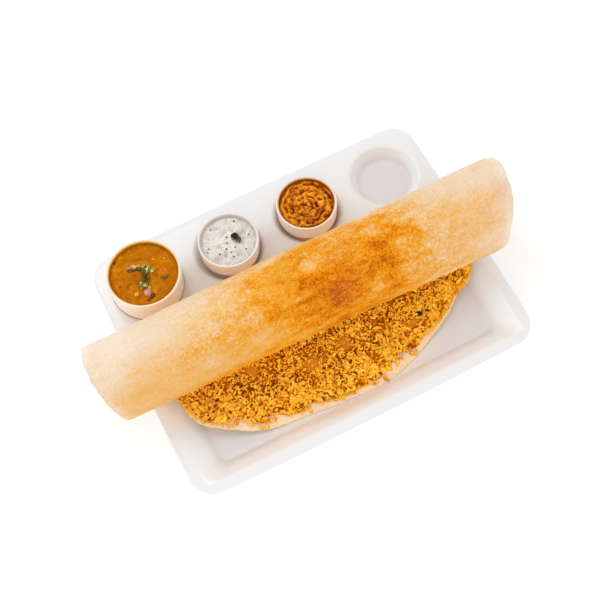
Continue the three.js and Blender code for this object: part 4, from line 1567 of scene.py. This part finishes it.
# Bits on the sambar. Strands have their points and thickness, rings their radius and thickness,
# lumps their seed, size and unevenness. Rings and lumps also have a place on it and a turn.
sambarBits = {
    "sambar_drumstick": {
        "finish": ("drumstickFlesh", [(0.1, "8c5a14"), (0.4, "cc923c"), (0.85, "ffe0a4")], 0.3),
        "lumps": [(31, (6.0, 4.2, 3.4), 0.6, (-10.4, 13.2, 0.8), -12),
                  (32, (5.6, 3.8, 3.2), 0.6, (-5.6, 12.4, 0.9), -24),
                  (33, (4.6, 3.2, 2.4), 0.6, (-0.8, 11.2, 0.5), -30)],
    },
    "sambar_pods": {
        "finish": ("greenPod", [(0.1, "4a3204"), (0.5, "74520a"), (0.9, "9c7c28")], 0.3),
        # the first strand is a dark band under the drumstick: painted shade; the second is a pod
        "strands": [([(-13.4, 10.9, -0.2), (-8, 9.6, 0.1), (-2, 8.4, 0.1)], 2.6),
                    ([(14.2, -8.6, 0.1), (15.0, -11.2, 0.3), (17.6, -12.4, 0.4),
                      (20.2, -10.8, 0.1)], 2.6)],
    },
    "sambar_chilli": {
        "finish": ("redChilliSkin", [(0.1, "4a2404"), (0.5, "743606"), (0.9, "a85610")], 0.3),
        "strands": [([(0.4, -22.6, 0.0), (-1.4, -24.6, 0.3), (-4.6, -26.6, 0.0)], 3.0)],
        "lumps": [(5, (3.4, 2.4, 1.8), 0.3, (-6.9, -26.6, 0.1), -35),
                  (6, (3.6, 2.0, 1.2), 0.3, (-20.6, 25.2, 0.0), 40),
                  (8, (2.2, 1.6, 1.1), 0.3, (-25.7, -0.9, 0.0), 0)],
    },
    "sambar_shallot": {
        "finish": ("shallotSkin", [(0.1, "b4664c"), (0.5, "dc9c86"), (0.9, "f6d4c4")], 0.28),
        "lumps": [(12, (9.0, 3.8, 2.8), 0.3, (-3.0, -19.2, 0.1), 66),
                  (14, (7.6, 3.2, 2.6), 0.3, (-5.4, -18.4, 0.0), 60),
                  (15, (4.6, 2.2, 1.8), 0.3, (-6.8, -17.4, -0.1), 75)],
    },
    "sambar_carrot": {
        "finish": ("carrotOrange", [(0.1, "d86604"), (0.5, "f4901a"), (0.9, "ffb648")], 0.3),
        "rings": [(2.5, 2.1, (18.6, -4.3, -0.2), 70), (1.5, 1.0, (3.2, -22.2, 0.2), 0),
                  (1.6, 1.1, (5.4, -3.2, 0.5), 0)],
        "lumps": [(18, (5.4, 4.2, 1.3), 0.25, (-14.8, -15.5, -0.2), 30),
                  (19, (2.8, 2.2, 1.2), 0.25, (25.0, 7.6, 0.0), 30),
                  (21, (2.2, 1.6, 1.0), 0.25, (22.6, 11.6, 0.0), 80),
                  (22, (3.0, 1.8, 0.9), 0.25, (14.6, 12.0, -0.1), 20)],
    },
}


def onSambar(*at):
    return sambarTop + at


def onCoconut(x, y, lift):
    out = math.hypot(x, y) / coconut["radius"]
    rise, _ = coconutSurface(*(np.array([float(number)]) for number in (x, y, out)))
    return coconutTop + (x, y, float(rise[0]) + lift)


def onHeap(x, y, lift):    # a place on the filling
    arc = y - rollAt(x)[1]
    bed = float(flapHeight(np.array([x]), np.array([arc]))[0])
    return x, y, bed + crepe["thickness"] / 2 + filling["clearance"] + lift


def sprig(start, end, spread, count, seed, size):    # small leaves about a line, on the sambar
    chance = random.Random(seed)
    leaves = []
    for i in range(count):
        t = (i + 0.5) / count
        x, y = (mix(a, b, t) + chance.uniform(-spread, spread) for a, b in zip(start, end))
        shape = leaf(size * chance.uniform(0.8, 1.2), 0.75 * size, 0.5, seed + i, 0.3, 0.2)
        at = onSambar(x, y, chance.uniform(0.2, 0.9))
        degrees = [chance.uniform(*limits) for limits in ((0, 360), (-32, 22), (-20, 20))]
        leaves.append(turnedTo(shape, at, *degrees))
    return leaves


def bitShapes(kind):
    ringLine = np.array([(math.cos(a), math.sin(a), 0.0) for a in np.linspace(0, 5.9, 9)])
    shapes = [turnedTo(strand(*line), onSambar(0, 0, 0)) for line in kind.get("strands", ())]
    for radius, thickness, at, yaw in kind.get("rings", ()):
        shapes.append(turnedTo(strand(radius * ringLine, thickness), onSambar(*at), yaw))
    for seed, size, unevenness, at, yaw in kind.get("lumps", ()):
        shapes.append(turnedTo(pebble(seed, size, unevenness, 3), onSambar(*at), yaw))
    return shapes


for pieceName, material, tones, sprigs in (
        ("sambar_coriander", "corianderGreen", "leafGreen", "coriander"),
        ("sambar_stalks", "stalkGreen", "stalkGreen", "stalks")):
    leaves = [shape for given in garnish[sprigs] for shape in sprig(*given)]
    makeGarnish(pieceName, leaves, leafFinish(material, garnish[tones]))
for pieceName, kind in sambarBits.items():
    makeGarnish(pieceName, bitShapes(kind), bitFinish(*kind["finish"]))

makeGarnish("coconut_curry_leaf", [
    turnedTo(leaf(9.6, 6.2, 0.5, 1), onCoconut(4.6, 4.6, 0.2), -50, 6),
    turnedTo(leaf(6.0, 3.0, 0.4, 4), onCoconut(9.0, 2.4, 0.5), -75, -8, 25),
    turnedTo(strand([(11.8, -1.4, 0.1), (11.0, -4.6, 0.5), (8.0, -7.0, 0.1)], 1.3),
             onCoconut(0, 0, 0.1)),
], leafFinish("curryLeafGreen", garnish["curryLeaf"]))
seedChance = random.Random(2)
makeGarnish("coconut_mustard_seeds", [
    turnedTo(pebble(40 + i, [seedChance.uniform(1.2, 1.9) for _ in range(3)], 0.3),
             onCoconut(x, y, 0.15))
    for i, (x, y) in enumerate(garnish["seedPlaces"])
], bitFinish("blackMustardSeed", garnish["mustardSeed"], 0.25))

makeGarnish("filling_spice_bits", [
    turnedTo(pebble(60, (3.0, 2.2, 2.2), 0.15, 3), onHeap(-100.1, -35.5, 8.2), 20),
    turnedTo(leaf(7.0, 5.0, 0.4, 2, 0.4), onHeap(86.5, -63.5, 9.0), -70, 12),
    turnedTo(pebble(61, (6.0, 4.2, 2.6), 0.6, 3), onHeap(86.0, -66.5, 8.9), 50),
    turnedTo(pebble(62, (4.8, 3.2, 2.4), 0.6, 3), onHeap(89.4, -63.8, 8.9), -30),
], leafFinish("darkSpice", garnish["charred"]))
print("garnish made")


# floor, lights and camera

stage = {
    "floorSize": 6.0,
    "floorColours": ("f8f8f8", "f5f5f5"),
    "floorGlow": 0.2,
    # where each soft lamp stands from the tray, its distance and size in metres, and its power
    "lamps": {
        "key": ((-0.35, 0.78, 1.1), 1.6, 1.1, 5.4),
        "front": ((-0.45, -0.95, 0.9), 1.8, 1.4, 5.4),
        "right": ((0.95, -0.2, 0.7), 1.8, 1.4, 1.8),
    },
    "worldStrength": 0.77,
    "cameraPlace": (-198.998, -491.053, 1145.889),
    "cameraAngles": (-21.197, 64.817, -6.348),    # azimuth, elevation and roll
    "lens": 76.272,
    "sensorWidth": 36,
}
white = (1, 1, 1, 1)


def makeStage():
    shape = bmesh.new()
    bmesh.ops.create_grid(shape, x_segments=2, y_segments=2, size=stage["floorSize"] / 2)
    mesh = bpy.data.meshes.new("floor")
    shape.to_mesh(mesh)
    shape.free()
    floor = bpy.data.objects.new("floor", mesh)
    paint = Finish("paleFloor", Roughness=0.85, Specular_IOR_Level=0.2, Emission_Color=white,
                   Emission_Strength=stage["floorGlow"])
    cloud = paint.noise(paint.place(), 400, 2)
    mesh.materials.append(paint.finished(paint.blend(cloud, *stage["floorColours"])))
    bpy.context.scene.collection.objects.link(floor)


def makeLights():
    world = bpy.data.worlds.new("studio")
    bpy.context.scene.world = world
    world.use_nodes = True
    background = world.node_tree.nodes["Background"]
    background.inputs["Color"].default_value = white
    background.inputs["Strength"].default_value = stage["worldStrength"]
    for name, (direction, distance, size, power) in stage["lamps"].items():
        light = bpy.data.lights.new(name, "AREA")
        light.shape = "DISK"
        light.size = size
        light.energy = power
        lamp = bpy.data.objects.new(name, light)
        towards = Vector(direction).normalized()
        lamp.location = Vector(trayMiddle) + towards * distance
        lamp.rotation_euler = towards.to_track_quat("Z", "Y").to_euler()
        bpy.context.scene.collection.objects.link(lamp)


def makeCamera():
    azimuth, elevation, tilt = (math.radians(angle) for angle in stage["cameraAngles"])
    level = math.cos(elevation)
    back = Vector((math.sin(azimuth) * level, -math.cos(azimuth) * level, math.sin(elevation)))
    right = Vector((0, 0, 1)).cross(back).normalized()
    up = back.cross(right)
    right, up = (right * math.cos(tilt) + up * math.sin(tilt),
                 up * math.cos(tilt) - right * math.sin(tilt))
    camera = bpy.data.cameras.new("camera")
    camera.lens = stage["lens"]
    camera.sensor_width = stage["sensorWidth"]
    view = bpy.data.objects.new("camera", camera)
    place = Matrix.Translation(trayMiddle + mm * np.array(stage["cameraPlace"]))
    view.matrix_world = place @ Matrix((right, up, back)).transposed().to_4x4()
    bpy.context.scene.collection.objects.link(view)
    bpy.context.scene.camera = view


makeStage()
makeLights()
makeCamera()
bpy.context.scene.view_settings.view_transform = "Standard"
